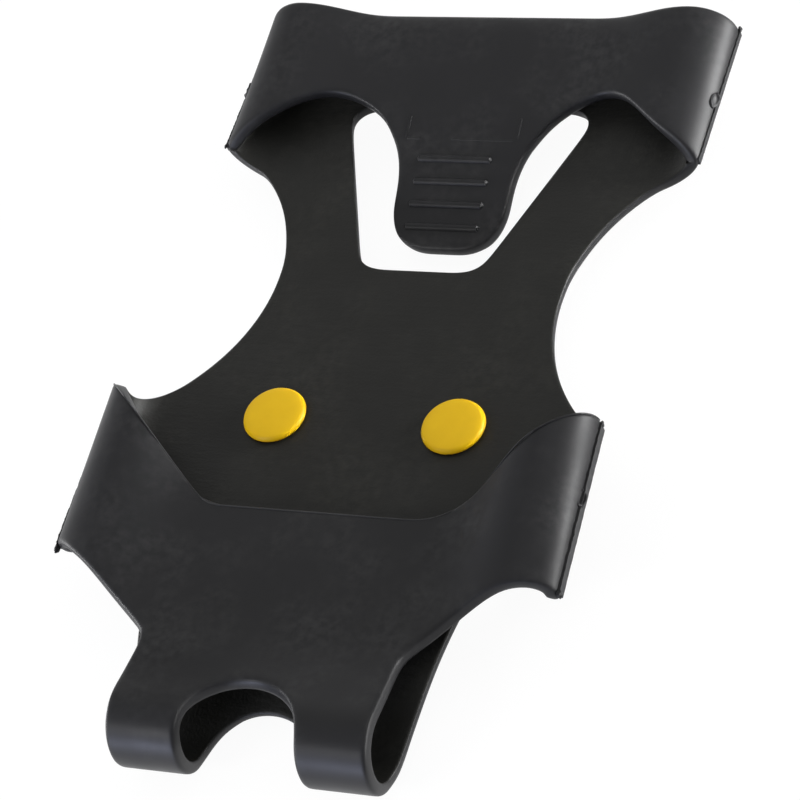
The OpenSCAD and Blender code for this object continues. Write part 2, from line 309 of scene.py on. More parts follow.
def fold_point(angle, y, fold_x, half_w, crest, power=ellipse_power):
    x = fold_x + (half_w - fold_x) * math.cos(angle)
    middle = (crest - sheet_t) / 2
    rise = math.sin(angle) ** power if angle > 0 else math.sin(angle)
    return x, y, middle + (crest + sheet_t) / 2 * rise


def toe_fold_column(angle, side):
    x = toe_fold_x + (toe_half_w - toe_fold_x) * math.cos(angle)
    upper = angle >= 0
    front = toe_front(x, side) if upper else toe_under_front(x, side)
    rear = toe_rear(x, side) if upper else toe_under_rear(x, side)
    rows = between(front, rear, toe_shares, edge_soft, edge_crisp)
    return [fold_point(angle, y, toe_fold_x, toe_half(y, side), toe_crest(y)) for y in rows]


for side, part in ((LEFT, TOE_FOLD_L), (RIGHT, TOE_FOLD_R)):
    slope_xs = steps(leg_root_x, toe_fold_x, slope_columns)
    slope_rows = turned([toe_slope_column(x, side) for x in slope_xs])
    fold_rows = turned([toe_fold_column(angle, side) for angle in fold_angles])
    patches.append(add_patch(on_side(slope_rows, side), TOE_BAND))
    patches.append(add_patch(on_side(fold_rows, side), part))
print("toe folds:", len(fold_rows), "rows of", len(fold_rows[0]))

# %% [markdown]
# ## The middle of the toe band
#
# Between the crests the band is flat, and in front of it a round notch leaves two legs. The columns keep
# to the legs' outer edge on one side and follow the notch on the other, so no hole has to be cut
# afterwards. A boolean cut would leave long thin faces that shade badly once the edge is rounded.

# %% Columns across the middle
notch_r = 12.5
notch_y = -46.0
notch_angle = 60
notch_split = math.radians(notch_angle)
notch_half = notch_r * math.cos(notch_split)
notch_row_y = notch_y + notch_r * math.sin(notch_split)
hold_share = 0.085
arm_shares = [0, hold_share, 0.3, 0.5, 0.7, 1 - hold_share, 1]
middle_columns = 4
middle_shares = steps(-1, 1, middle_columns)


def across(inner, outer, shift=0.0, slide=0.0):
    left = [lerp(shift - inner, slide - outer, share) for share in arm_shares]
    right = [lerp(shift + inner, slide + outer, share) for share in arm_shares]
    middle = [shift + inner * share for share in middle_shares[1:-1]]
    return left[::-1] + middle + right


def notch_edge(x):
    if abs(x) < notch_half:
        return notch_y + math.sqrt(notch_r ** 2 - x ** 2)
    return notch_row_y


print("columns across the middle:", len(across(notch_half, leg_root_x)))

# %% Lay the flat middle and the root of the legs
root_shares = [0, 0.25, 0.5, 0.85, 1]
band_rows = []
for index in range(len(toe_shares) + 2):
    row = []
    for x in across(notch_half, leg_root_x):
        side = LEFT if x < 0 else RIGHT
        ends = toe_front(leg_root_x, side), toe_rear(x, side)
        y = between(*ends, toe_shares, edge_soft, edge_crisp)[index]
        row.append((x, y, cap_height(y)))
    band_rows.append(row)
patches.append(add_patch(band_rows, TOE_BAND))

root_rows = []
for share in root_shares:
    row = []
    for x in across(notch_half, leg_root_x if share == 0 else leg_outer_x):
        y = lerp(toe_front(leg_root_x, RIGHT), notch_edge(x), share)
        row.append((x, y, cap_height(y)))
    root_rows.append(row)
patches.append(add_patch(root_rows, TOE_BAND))
print("flat middle:", len(band_rows), "rows, leg roots:", len(root_rows), "rows")

# %% [markdown]
# ## The two front bends
#
# The legs bend down and back to join the sole, and the tip of the shoe pushes against these bends. Each
# bend is a round loop with a straight run at both ends. One side view of it is worked out as a line of
# points, and every point of that line becomes a row across the leg. A Bend modifier would not keep the
# legs' widths.

# %% Side view of the bends
sole_droop = math.radians(11)
sole_root_y = -8.0
sole_root_x = 34.6
nose_rows = 10
loop_bottom_y = loop_y + loop_r * math.sin(sole_droop)


def sole_height(y):
    low_z = loop_z - loop_r * math.cos(sole_droop)
    start_y = loop_bottom_y + (-sheet_t - low_z) / math.tan(sole_droop)
    return -sheet_t - math.tan(sole_droop) * soft_corner(start_y - y, bend_soft)


def loop_arc(y):
    return math.sqrt(loop_r ** 2 - (y - loop_y) ** 2)


notch_angles = [math.radians(angle) for angle in range(notch_angle, -1, -fold_turn)]
notch_ys = [notch_y + notch_r * math.sin(angle) for angle in notch_angles]
nose_start = math.acos((notch_y - loop_y) / loop_r)
nose_angles = steps(nose_start, 2 * math.pi - nose_start, nose_rows)[1:-1]
upper = [(y, loop_z + loop_arc(y) if y < loop_top_y else cap_height(y)) for y in notch_ys]
nose = [(loop_y + loop_r * math.cos(angle), loop_z + loop_r * math.sin(angle)) for angle in nose_angles]
lower = [(y, loop_z - loop_arc(y) if y < loop_bottom_y else sole_height(y)) for y in reversed(notch_ys)]
print("side view of a bend:", len(upper + nose + lower), "points")

# %% Lay the two front bends


def notch_side(y):
    return notch_r if y < notch_y else math.sqrt(notch_r ** 2 - (y - notch_y) ** 2)


def leg_side(y):
    return max(leg_outer_x, line_at((loop_y - loop_r / 2, leg_outer_x), (sole_root_y, sole_root_x), y))


bend_rows = []
for y, height in upper + nose + lower:
    outer_x = leg_side(y) if height < loop_z else leg_outer_x
    bend_rows.append([(lerp(notch_side(y), outer_x, share), y, height) for share in arm_shares])
patches.append(add_patch(bend_rows, TOE_BEND_R))
patches.append(add_patch(on_side(bend_rows, LEFT), TOE_BEND_L))
print("front bends:", len(bend_rows), "rows")

# %% [markdown]
# ## The sole
#
# The sole is the same sheet lying flat: it starts at the two legs, widens to the toe folds, narrows at
# the waist and widens again to the heel folds, with a rounded window cut out for the arch of the foot.
# One function gives its half-width at every distance from the toe, and a list of arcs gives the window's
# edge.

# %% Outline of the sole
waist_shift = 0.5


def sole_half(y):
    if y <= sole_root_y:
        return leg_side(y)
    if y < toe_seam_front:
        return line_at((sole_root_y, sole_root_x), (toe_seam_front, toe_fold_x), y)
    if y <= waist_start_y:
        return toe_fold_x
    if y < waist_end_y:
        return waist_x - math.sqrt(waist_r ** 2 - (y - waist_y) ** 2)
    return heel_fold_x


def sole_slide(y):
    return waist_shift * arch(clamp((y - waist_start_y) / (waist_end_y - waist_start_y)))


print("half-width at the waist", round(sole_half(waist_y), 1), "mm")

# %% Outline of the window
window_front_y = 72.6
window_front_half = 13.5
window_front_r = 6.0
window_front_shift = -0.7
window_rear_y = 118.1
window_rear_half = 29.8
window_rear_r = 5.0
window_rear_shift = -1.8
arm_row_ys = (83.0, 89.0, 94.0, waist_end_y, waist_end_y + edge_soft, 105.5)
front_arc_rows = 3
rear_arc_rows = 4

side_run = window_rear_half - window_front_half
side_turn = math.atan2(side_run, window_rear_y - window_front_y)
front_turn = math.pi / 2 + side_turn
rear_turn = math.pi / 2 - side_turn
window_front_flat = window_front_half - window_front_r / math.tan(front_turn / 2)
window_rear_flat = window_rear_half - window_rear_r / math.tan(rear_turn / 2)


def window_slide(y):
    return line_at((window_front_y, window_front_shift), (window_rear_y, window_rear_shift), y)


front_arc = [(window_front_flat + window_front_r * math.sin(turn),
              window_front_y + window_front_r * (1 - math.cos(turn)))
             for turn in steps(0, math.pi - front_turn, front_arc_rows)]
rear_arc = [(window_rear_flat + window_rear_r * math.cos(turn),
             window_rear_y - window_rear_r * (1 - math.sin(turn)))
            for turn in steps(-side_turn, math.pi / 2, rear_arc_rows)]
straight = []
for y in arm_row_ys:
    straight.append((line_at((front_arc[-1][1], front_arc[-1][0]), (rear_arc[0][1], rear_arc[0][0]), y), y))
window_path = front_arc + straight + rear_arc
print("window edge:", len(window_path), "points on each side")

# %% Lay the sole from the legs to the window
notch_hold = 2.2
notch_fade = 14.0
root_hold = 1.6
leg_row_ys = [-28.0, -23.0, -18.5, -13.5]
seam_row_y = -2.6
waist_row_count = 8
front_ys = [notch_row_y, notch_row_y + notch_hold] + leg_row_ys
front_ys += [sole_root_y - root_hold, sole_root_y, sole_root_y + root_hold, seam_row_y]
front_ys += between(toe_seam_front, waist_start_y, toe_shares, edge_soft, edge_crisp)
front_ys += steps(waist_start_y, window_front_y - edge_soft, waist_row_count)[1:] + [window_front_y]

sole_rows = []
for y in front_ys:
    opening = line_at((notch_row_y, notch_half), (window_front_y, window_front_flat), y)
    relax = max(0, 1 - (y - notch_row_y) / notch_fade)
    shift = window_front_shift * clamp((y - waist_start_y) / (window_front_y - waist_start_y))
    row = []
    for x in across(opening, sole_half(y), shift, sole_slide(y)):
        bulge = (notch_edge(x) - notch_row_y) * relax if abs(x) < notch_half else 0
        row.append((x, y + bulge, sole_height(y + bulge)))
    sole_rows.append(row)
patches.append(add_patch(sole_rows, SOLE))
print("sole rows:", len(sole_rows))

# %% Lay the two arms beside the window and the bridge behind it
bridge_columns = 12
bridge_row_ys = [123.5, 128.0, 132.0]
bridge_ys = [window_rear_y, window_rear_y + edge_soft] + bridge_row_ys
bridge_ys += [heel_rear_y - edge_soft, heel_rear_y]
for side in (LEFT, RIGHT):
    arm_rows = []
    for x, y in window_path:
        inner_x = window_slide(y) + side * x
        outer_x = sole_slide(y) + side * sole_half(y)
        arm_rows.append([(lerp(inner_x, outer_x, share), y, -sheet_t) for share in arm_shares])
    patches.append(add_patch(arm_rows, SOLE))

bridge_rows = []
for y in bridge_ys:
    slide = window_rear_shift * (heel_rear_y - y) / (heel_rear_y - window_rear_y)
    left = [lerp(slide - window_rear_flat, -heel_fold_x, share) for share in arm_shares]
    right = [lerp(slide + window_rear_flat, heel_fold_x, share) for share in arm_shares]
    middle = steps(slide - window_rear_flat, slide + window_rear_flat, bridge_columns)[1:-1]
    bridge_rows.append([(x, y, -sheet_t) for x in left[::-1] + middle + right])
patches.append(add_patch(bridge_rows, SOLE))
print("arm rows:", len(arm_rows), "bridge rows:", len(bridge_rows))

# %% [markdown]
# ## The heel strap and its folds
#
# The strap is a narrower band of the same kind, sloping up towards the rear, where its edge rolls down.
# From its front edge a tab with wide fillets hangs down through the window, for pulling the cleat on. The
# rows of the strap meet those of the arms and the bridge below, so that the folds between them close
# without a gap.

# %% Sizes of the strap and of the tab's root
strap_front_z = 4.0
strap_rear_z = 10.1
strap_roll_y = 130.4
strap_roll = 0.036
strap_flat_half = 25.0
shoulder_x = 30.0
shoulder_y = 120.2
shoulder_reach = 8.0
shoulder_soft = {LEFT: 4.2, RIGHT: 3.0}
shoulder_dip = {LEFT: 0.4, RIGHT: 1.9}
dip_start_x = 33.0
tab_root_y = 110.0
tab_half = 13.2
tab_droop = math.radians(18)
tab_shift = 0.45
tab_shift_y = (110.0, 124.0)
tab_bend_x = 22.0
tab_bend_fade = 10.0
flare_y = 104.4
flare_r = 26.0

heel_crease_front = strap_low.y
flare_a = math.atan2(shoulder_x - tab_half, shoulder_y - flare_y)
flare_cut = flare_r * math.tan(flare_a / 2)
flare_cx = tab_half + flare_r
flare_cy = flare_y - flare_cut
tab_root_x = flare_cx - flare_r * math.cos(flare_a / 2)
tab_join_y = flare_cy + flare_r * math.sin(flare_a / 2)
print("tab root", round(2 * tab_root_x, 1), "mm wide")

# %% Front edge and height of the strap
heel_crest_front = 7.2
heel_crest_rear = 12.8


def heel_crest(y):
    return line_at((heel_crease_front, heel_crest_front), (heel_rear_y, heel_crest_rear), y)


def strap_bend(x):
    share = clamp((abs(x) - tab_bend_x) / tab_bend_fade)
    return 1 - share * share * (3 - 2 * share)


def strap_height(x, y):
    slope = (strap_rear_z - strap_front_z) / (heel_rear_y - heel_crease_front)
    drop = (math.tan(tab_droop) - slope) * soft_corner(tab_root_y - y, bend_soft)
    roll = strap_roll * max(0, y - strap_roll_y) ** 2
    return strap_front_z + slope * (y - heel_crease_front) - drop * strap_bend(x) - roll


def strap_front(x, side=RIGHT):
    steep = (shoulder_y - flare_y) / (shoulder_x - tab_half)
    shallow = (heel_crease_front - shoulder_y) / (heel_half_w - shoulder_x)
    edge = shoulder_y + steep * (x - shoulder_x)
    if x < tab_half + flare_cut * math.sin(flare_a):
        edge = flare_cy + math.sqrt(flare_r ** 2 - (flare_cx - x) ** 2)
    reach = min(1, (x - tab_root_x) / shoulder_reach)
    corner = (shallow - steep) * soft_corner(x - shoulder_x, shoulder_soft[side])
    share = clamp((x - dip_start_x) / (heel_half_w - dip_start_x))
    return edge + corner * reach - shoulder_dip[side] * math.sin(math.pi * share) ** 2


def strap_place(x, y):
    hang = (1 - math.cos(tab_droop)) * max(0, tab_root_y - y) * strap_bend(x)
    middle = strap_height(x, y + hang)
    height = slope_height(abs(x), strap_flat_half, heel_fold_x, middle, heel_crest(y))
    share = clamp((tab_shift_y[1] - y) / (tab_shift_y[1] - tab_shift_y[0]))
    return x + tab_shift * strap_bend(x) * share, y + hang, height


print("front edge of the strap at the tab", round(strap_front(tab_root_x), 1))
print("front edge of the strap at the fold", round(strap_front(heel_half_w), 1))

# %% Lay the strap and the heel folds
heel_front_power = 1.6
heel_spread = {LEFT: (0.9, -0.7), RIGHT: (-0.7, 0.5)}
fillet_columns = 3
strap_columns = 6
heel_seam_ys = [y for x, y in window_path if y >= waist_end_y] + bridge_ys[1:]
seam_run = heel_seam_ys[-2] - heel_seam_ys[1]
heel_shares = [(y - heel_seam_ys[1]) / seam_run for y in heel_seam_ys[1:-1]]
strap_xs = steps(tab_root_x, strap_flat_half, fillet_columns)
strap_xs += steps(strap_flat_half, heel_fold_x, strap_columns)[1:]


def heel_column(x, side):
    ys = between(strap_front(x, side), heel_rear_y, heel_shares, edge_soft, edge_soft)
    return [strap_place(side * x, y) for y in ys]


def heel_half(y, side):
    spread = heel_spread[side]
    return heel_half_w + line_at((heel_crease_front, spread[0]), (heel_rear_y, spread[1]), y)


def heel_fold_column(angle, side):
    x = heel_fold_x + (heel_half_w - heel_fold_x) * math.cos(angle)
    lower_front = line_at((heel_fold_x, waist_end_y), (heel_half_w, strap_front(heel_half_w)), x)
    front = strap_front(x, side) if angle >= 0 else lower_front
    column = []
    for y in between(front, heel_rear_y, heel_shares, edge_soft, edge_soft):
        power = line_at((heel_crease_front, heel_front_power), (heel_rear_y, ellipse_power), y)
        column.append(fold_point(angle, y, heel_fold_x, heel_half(y, side), heel_crest(y), power))
    return column


for side in (LEFT, RIGHT):
    patches.append(add_patch(turned([heel_column(x, side) for x in strap_xs]), HEEL_BAND))
for side, part in ((LEFT, HEEL_FOLD_L), (RIGHT, HEEL_FOLD_R)):
    heel_rows = turned([heel_fold_column(angle, side) for angle in fold_angles])
    patches.append(add_patch(on_side(heel_rows, side), part))
print("heel folds:", len(heel_rows), "rows of", len(heel_rows[0]))

# %% [markdown]
# ## The pull tab
#
# The tab is gripped to pull the cleat on or off. It grows out of the middle of the strap and ends in two
# round corners. Its rows are squeezed towards that rounded end, so the whole tab stays one grid of
# four-sided faces, which a subdivision surface rounds evenly.

# %% Lay the middle of the strap and the tab
tab_len = 30.3
tab_corner_r = 9.5
tab_hold = 0.88
tab_end_hold = 0.9
tab_columns = 8
tab_row_count = 5
tab_shares = [-1] + steps(-tab_hold, tab_hold, tab_columns) + [1]
tab_end_y = tab_root_y - tab_len
corner_y = tab_end_y + tab_corner_r
corner_x = tab_half - tab_corner_r
corner_half = corner_x + tab_corner_r * math.sqrt(0.5)
corner_end = corner_y - tab_corner_r * math.sqrt(0.5)


def tab_side(y):
    if y > flare_cy:
        return flare_cx - math.sqrt(flare_r ** 2 - (y - flare_cy) ** 2)
    if y > corner_y:
        return tab_half
    return corner_x + math.sqrt(tab_corner_r ** 2 - (corner_y - y) ** 2)


def tab_end(x):
    if abs(x) < corner_x:
        return tab_end_y
    return corner_y - math.sqrt(tab_corner_r ** 2 - (abs(x) - corner_x) ** 2)


middle_rows = []
for y in between(tab_join_y, heel_rear_y, heel_shares, edge_soft, edge_soft):
    middle_rows.append([strap_place(share * tab_root_x, y) for share in tab_shares])
patches.append(add_patch(middle_rows, HEEL_BAND))

tab_rows = []
for share in steps(0, tab_end_hold, tab_row_count) + [1]:
    half = tab_side(lerp(tab_join_y, corner_end, share))
    row = []
    for sideways in tab_shares:
        row.append(strap_place(sideways * half, lerp(tab_join_y, tab_end(sideways * corner_half), share)))
    tab_rows.append(row)
patches.append(add_patch(tab_rows, HEEL_BAND))
print("patches:", len(patches))

# %% [markdown]
# ## From a thin skin to rubber
#
# The patches meet point for point, so they are joined and merged into one skin: the outer face of the
# rubber. Solidify gives it its thickness inwards, and a subdivision surface rounds every edge the way a
# mould does. A Bevel modifier would round the edges too, but it would leave the broad faces as flat as
# they were laid.

# %% Merge, thicken and round
skin_merge_mm = 0.05
skin = join(patches, "rubber_skin")
bpy.ops.object.mode_set(mode="EDIT")
bpy.ops.mesh.select_all(action="SELECT")
bpy.ops.mesh.remove_doubles(threshold=skin_merge_mm * MM)
bpy.ops.mesh.normals_make_consistent(inside=False)
bpy.ops.object.mode_set(mode="OBJECT")
crown = max(skin.data.polygons, key=lambda face: face.center.z)
if crown.normal.z < 0:
    skin.data.flip_normals()
print("skin:", len(skin.data.polygons), "faces")

thicken = skin.modifiers.new("thickness", "SOLIDIFY")
thicken.thickness = sheet_t * MM
thicken.offset = -1
thicken.use_even_offset = True
thicken.material_offset = 1
thicken.edge_crease_inner = 0.45
rounding = skin.modifiers.new("rounding", "SUBSURF")
rounding.levels = 2
rounding.render_levels = 2
skin.data.materials.append(None)
skin.data.materials.append(None)
apply_modifiers(skin)
bpy.ops.object.shade_smooth()
print("rubber:", len(skin.data.polygons), "faces")

# %% [markdown]
# ## Cut the rubber where it flexes
#
# The band, the strap and the tab each move on their own, so the moulding is cut into the same pieces as
# in the CAD model. The cuts lie where the rubber is flat or along the crests, each cut face is closed,
# and the shading is copied back from the uncut moulding with a Data Transfer modifier, so that no seam
# shows.

# %% Helpers for cutting
select_faces_only = (False, False, True)


def part_numbers(obj):
    return [item.value for item in obj.data.attributes["part"].data]


def select_faces(obj, wanted):
    only(obj)
    bpy.context.tool_settings.mesh_select_mode = select_faces_only
    bpy.ops.object.mode_set(mode="EDIT")
    bpy.ops.mesh.select_all(action="DESELECT")
    bpy.ops.object.mode_set(mode="OBJECT")
    obj.data.polygons.foreach_set("select", wanted)
    bpy.ops.object.mode_set(mode="EDIT")


def split_off(obj, wanted, name):
    select_faces(obj, wanted)
    bpy.ops.mesh.separate(type="SELECTED")
    bpy.ops.object.mode_set(mode="OBJECT")
    piece = [other for other in bpy.context.selected_objects if other != obj][0]
    return give_name(piece, name)


def close_holes(obj, merge_mm=0.0):
    only(obj)
    bpy.ops.object.mode_set(mode="EDIT")
    bpy.ops.mesh.select_all(action="SELECT")
    if merge_mm:
        bpy.ops.mesh.remove_doubles(threshold=merge_mm * MM)
    bpy.ops.mesh.fill_holes(sides=0)
    bpy.ops.mesh.select_all(action="SELECT")
    bpy.ops.mesh.normals_make_consistent(inside=False)
    bpy.ops.object.mode_set(mode="OBJECT")


def copy_shading(piece, source):
    transfer = piece.modifiers.new("shading", "DATA_TRANSFER")
    transfer.object = source
    transfer.use_loop_data = True
    transfer.data_types_loops = {"CUSTOM_NORMAL"}
    transfer.loop_mapping = "POLYINTERP_NEAREST"
    apply_modifiers(piece)


# %% Cut the tab's seam across the strap
tab_seam_y = 113.5
whole = skin.copy()
whole.data = skin.data.copy()
bpy.context.collection.objects.link(whole)


def near_tab():
    faces = zip(part_numbers(skin), skin.data.polygons)
    return [number == HEEL_BAND and abs(face.center.x) < shoulder_x * MM for number, face in faces]


select_faces(skin, near_tab())
bpy.ops.mesh.bisect(plane_co=(0, tab_seam_y * MM, 0), plane_no=(0, 1, 0))
bpy.ops.object.mode_set(mode="OBJECT")
print("faces after the seam:", len(skin.data.polygons))

# %% Cut the moulding apart
before_seam = [face.center.y < tab_seam_y * MM for face in skin.data.polygons]
on_tab = [near and before for near, before in zip(near_tab(), before_seam)]
pieces = {"grip_tab": split_off(skin, on_tab, "grip_tab")}
piece_names = {TOE_BAND: "toe_band", TOE_FOLD_L: "toe_fold_left", TOE_FOLD_R: "toe_fold_right",
               TOE_BEND_L: "toe_bend_left", TOE_BEND_R: "toe_bend_right", HEEL_BAND: "heel_band",
               HEEL_FOLD_L: "heel_fold_left", HEEL_FOLD_R: "heel_fold_right"}
for part, name in piece_names.items():
    pieces[name] = split_off(skin, [number == part for number in part_numbers(skin)], name)
pieces["sole_sheet"] = give_name(skin, "sole_sheet")
for piece in pieces.values():
    close_holes(piece)
print("rubber pieces:", sorted(pieces))

# %% Drill the stud holes and smooth over the cuts
hole_r = 3.02
hole_turns = 48
drill_len = 4 * sheet_t
places = ["front_middle", "front_left", "front_right", "rear_left", "rear_right"]


def stud_centre(place):
    low, high = box_mm("stud_tip_" + place)
    return (low.x + high.x) / 2, (low.y + high.y) / 2


for place in places:
    x, y = stud_centre(place)
    bpy.ops.mesh.primitive_cylinder_add(vertices=hole_turns, radius=hole_r * MM, depth=drill_len * MM,
                                        location=(x * MM, y * MM, inner_z * MM))
    drill = bpy.context.object
    cut = skin.modifiers.new("hole", "BOOLEAN")
    cut.operation = "DIFFERENCE"
    cut.object = drill
    apply_modifiers(skin)
    bpy.data.objects.remove(drill)
for piece in pieces.values():
    copy_shading(piece, whole)
bpy.data.objects.remove(whole)
print("faces:", sorted((name, len(piece.data.polygons)) for name, piece in pieces.items()))

# %% [markdown]
# ## Marks of the mould
#
# The two halves of the mould meet along the outermost line of each fold. There the rubber has a flat land
# with a ragged upper lip where the flash was trimmed. It could be a bump in the material, but it shows in
# the outline, so it is a thin strip of its own: a row of five-sided rings, roughened with a smooth noise.

# %% Helpers for raised details
tube_merge_mm = 0.002
tube_crease = math.radians(40)
coarse_per_mm = 0.9
fine_per_mm = 2.7
fine_share = 0.6
noise_rows = (0.3, 5.1)


def add_tube(rings, name):
    tube = add_patch([ring + ring[:1] for ring in rings])
    close_holes(tube, tube_merge_mm)
    bpy.ops.object.shade_smooth_by_angle(angle=tube_crease)
    return give_name(tube, name)


def ragged(y, seed, size):
    coarse = noise.noise(Vector((y * coarse_per_mm, seed, noise_rows[0])))
    fine = noise.noise(Vector((y * fine_per_mm, seed, noise_rows[1])))
    return size * (coarse + fine_share * fine)


# %% Where the marks lie on each fold
land_start = 0.8
toe_land_stop = {LEFT: 1.8, RIGHT: 0.9}
heel_land_stop = 0.6
heel_ends = (strap_front(heel_half_w) + land_start, heel_rear_y - heel_land_stop)
folds = {}
for side, word in ((LEFT, "left"), (RIGHT, "right")):
    toe_ends = (toe_crease_front[side] + land_start, toe_rear(toe_half_w, side) - toe_land_stop[side])
    folds["toe_fold_" + word] = (side, toe_half, toe_crest, toe_ends)
    folds["heel_fold_" + word] = (side, heel_half, heel_crest, heel_ends)
fold_seeds = {"toe_fold_left": 1.0, "toe_fold_right": 2.0, "heel_fold_left": 3.0, "heel_fold_right": 4.0}


def parting_height(y, crest):
    return (crest(y) - sheet_t) / 2


print("lands in mm:", {name: round(ends[1] - ends[0], 1) for name, (_, _, _, ends) in folds.items()})

# %% Land and lip along each fold
land_size = {"toe": (1.15, 0.2), "heel": (0.35, 0.08)}
land_down = 1.3
land_in = 0.7
land_steps = 64
top_rag = 0.2
face_rag = 0.05
lip_out = 0.05
lip_rag = 0.16
lip_t = 0.35
face_seed = 7
lip_seed = 3


def add_land(name, seed):
    side, half, crest, ends = folds[name]
    rise, proud = land_size[name.split("_")[0]]
    rings = []
    for y in steps(*ends, land_steps):
        top = parting_height(y, crest) + rise + ragged(y, seed, top_rag)
        out = half(y, side) + proud + ragged(y, seed + face_seed, face_rag)
        lip = out + lip_out + abs(ragged(y, seed + lip_seed, lip_rag))
        low = parting_height(y, crest) - land_down
        inside = half(y, side) - land_in
        ring = [(inside, top), (lip, top), (out, top - lip_t), (out, low), (inside, low)]
        rings.append([(side * x, y, height) for x, height in ring])
    return add_tube(rings, name)


marks = {name: [add_land(name, seed)] for name, seed in fold_seeds.items()}
print("lands:", sorted(marks))

# %% [markdown]
# ## Scars and shards
#
# On each land sits a small round scar where the rubber was let into the mould, with a dished middle and a
# raised rim. At some ends of the lands hang shards of flash that the trimming knife missed. A scar is a
# stack of rippled rings, and a shard is a small ball whose points are pushed in and out by noise.

# %% Scars where the rubber was let in
gate_r = 1.6
gate_tilt = math.radians(38)
gate_turns = 28
gate_y = {"toe": 14.3, "heel": 117.4}
gate_lift = 1.0
gate_sink = 0.25
gate_relief = 0.8
gate_squash = 0.8
gate_stretch = 1.3
gate_section = ((0.02, 0.05), (0.35, 0.0), (0.55, 0.1), (0.72, 0.34), (0.86, 0.3), (1.0, -0.05), (1.05, -0.7))
gate_seed = 0.5
ripple_rate = 1.6
ripple_out = 0.16
ripple_up = 1.3


def add_gate(name, seed):
    side, half, crest, _ = folds[name]
    y = gate_y[name.split("_")[0]]
    outward = Vector((math.cos(gate_tilt), 0, math.sin(gate_tilt)))
    upward = Vector((-math.sin(gate_tilt), 0, math.cos(gate_tilt)))
    centre = Vector((half(y, side) - gate_sink, y, parting_height(y, crest) + gate_lift))
    rings = []
    for share, height in gate_section:
        ring = []
        for turn in steps(0, 2 * math.pi, gate_turns)[:-1]:
            ripple = noise.noise(Vector((ripple_rate * math.cos(turn), ripple_rate * math.sin(turn), seed)))
            radius = gate_r * share * (1 + ripple_out * ripple)
            bump_up = gate_relief * height * (1 + ripple_up * ripple)
            spot = centre + outward * bump_up + upward * radius * math.sin(turn) * gate_squash
            ring.append((side * spot.x, spot.y + radius * math.cos(turn) * gate_stretch, spot.z))
        rings.append(ring)
    return add_tube(rings, "gate")


for name, seed in fold_seeds.items():
    marks[name].append(add_gate(name, seed + gate_seed))
print("scars:", len(fold_seeds))

# %% Shards of flash at the ends of the lands
shard_lift = 0.3
shard_rag = 0.45
shard_rate = 1.7
START = 0
END = 1
shards = (("toe_fold_left", START, -0.6, (0.55, 1.3, 0.7)),
          ("toe_fold_right", START, -0.2, (0.6, 0.9, 0.9)),
          ("toe_fold_right", END, 0.2, (0.4, 0.7, 0.6)),
          ("heel_fold_left", START, -0.2, (0.25, 0.6, 0.35)),
          ("heel_fold_right", END, 0.2, (0.4, 0.7, 0.6)))


def add_shard(side, place, size, seed):
    bpy.ops.mesh.primitive_ico_sphere_add(subdivisions=3, radius=1)
    shard = bpy.context.object
    for vertex in shard.data.vertices:
        ragged_size = 1 + shard_rag * noise.noise(vertex.co * shard_rate + Vector((seed, 0, 0)))
        spot = [place[axis] + vertex.co[axis] * size[axis] * ragged_size for axis in range(3)]
        vertex.co = (side * spot[0] * MM, spot[1] * MM, (spot[2] + inner_z) * MM)
    bpy.ops.object.shade_smooth()
    return shard


for seed, (name, end, past, size) in enumerate(shards, start=1):
    side, half, crest, ends = folds[name]
    y = ends[end] + past
    place = (half(y, side), y, parting_height(y, crest) + shard_lift)
    marks[name].append(add_shard(side, place, size, seed))
print("shards:", len(shards))

# %% [markdown]
# ## The fine line along the rear edge of the toe band
#
# Along the rear edge of the toe band a fine pale line is a painted highlight, standing in for the gleam
# of that edge. A thin tube along that edge carries it in a paler rubber, sunk partly into the rubber,
# because a line painted on the band would vanish where the edge turns away. Along the rear edges of the
# folds the same tube is in the outer rubber, so there it only shapes the edge.

# %% Lay a fine line along the rear edge
edge_line_r = 0.2
edge_inset = 0.12
edge_turns = 8
trim_stop = 0.15
trim_rings = 24
band_rings = 60


def edge_line(points, name):
    rings = []
    for x, y, height in points:
        ring = []
        for turn in steps(0, 2 * math.pi, edge_turns)[:-1]:
            back_y = y - edge_line_r + edge_line_r * math.cos(turn)
            ring.append((x, back_y, height + edge_line_r * math.sin(turn)))
        rings.append(ring)
    return add_tube(rings, name)


def rear_point(x, side):
    y = toe_rear(x, side) - edge_inset
    height = slope_height(x, leg_root_x, toe_fold_x, cap_height(y), toe_crest(y))
    return side * x, y, height - edge_inset


def fold_rear_point(angle, side):
    x = toe_fold_x + (toe_half_w - toe_fold_x) * math.cos(angle)
    y = toe_rear(x, side) - edge_inset
    spot = fold_point(angle, y, toe_fold_x, toe_half(y, side) - edge_inset, toe_crest(y) - edge_inset)
    return side * spot[0], spot[1], spot[2]


for side, name in ((LEFT, "toe_fold_left"), (RIGHT, "toe_fold_right")):
    fold_edge = [fold_rear_point(angle, side) for angle in steps(math.pi / 2, trim_stop, trim_rings)]
    marks[name].append(edge_line(fold_edge, "trim"))
band_edge = [rear_point(x, LEFT) for x in steps(toe_fold_x, 0, band_rings)]
band_edge += [rear_point(x, RIGHT) for x in steps(0, toe_fold_x, band_rings)[1:]]
# This line is dressed later in the paler rubber, a painted highlight along the band's rear edge.
band_highlight_line = edge_line(band_edge, "band_highlight_line")
lands = {name: join(found, "land_" + name) for name, found in marks.items()}
print("marks along the folds:", sorted((name, len(land.data.polygons)) for name, land in lands.items()))

# %% [markdown]
# ## Ribs on the grip tab
#
# Four raised ribs give the fingers a hold, and a faint plain frame is moulded above them. Each is a rod
# with round ends that lies partly in the rubber and follows its bend. Extruding strips from the tab's own
# faces would tie the ribs to the grid of the tab, whose rows don't lie where the ribs do.

# %% Rod that follows the tab
rod_rings = 24
rod_turns = 12
rod_end_r = 0.03


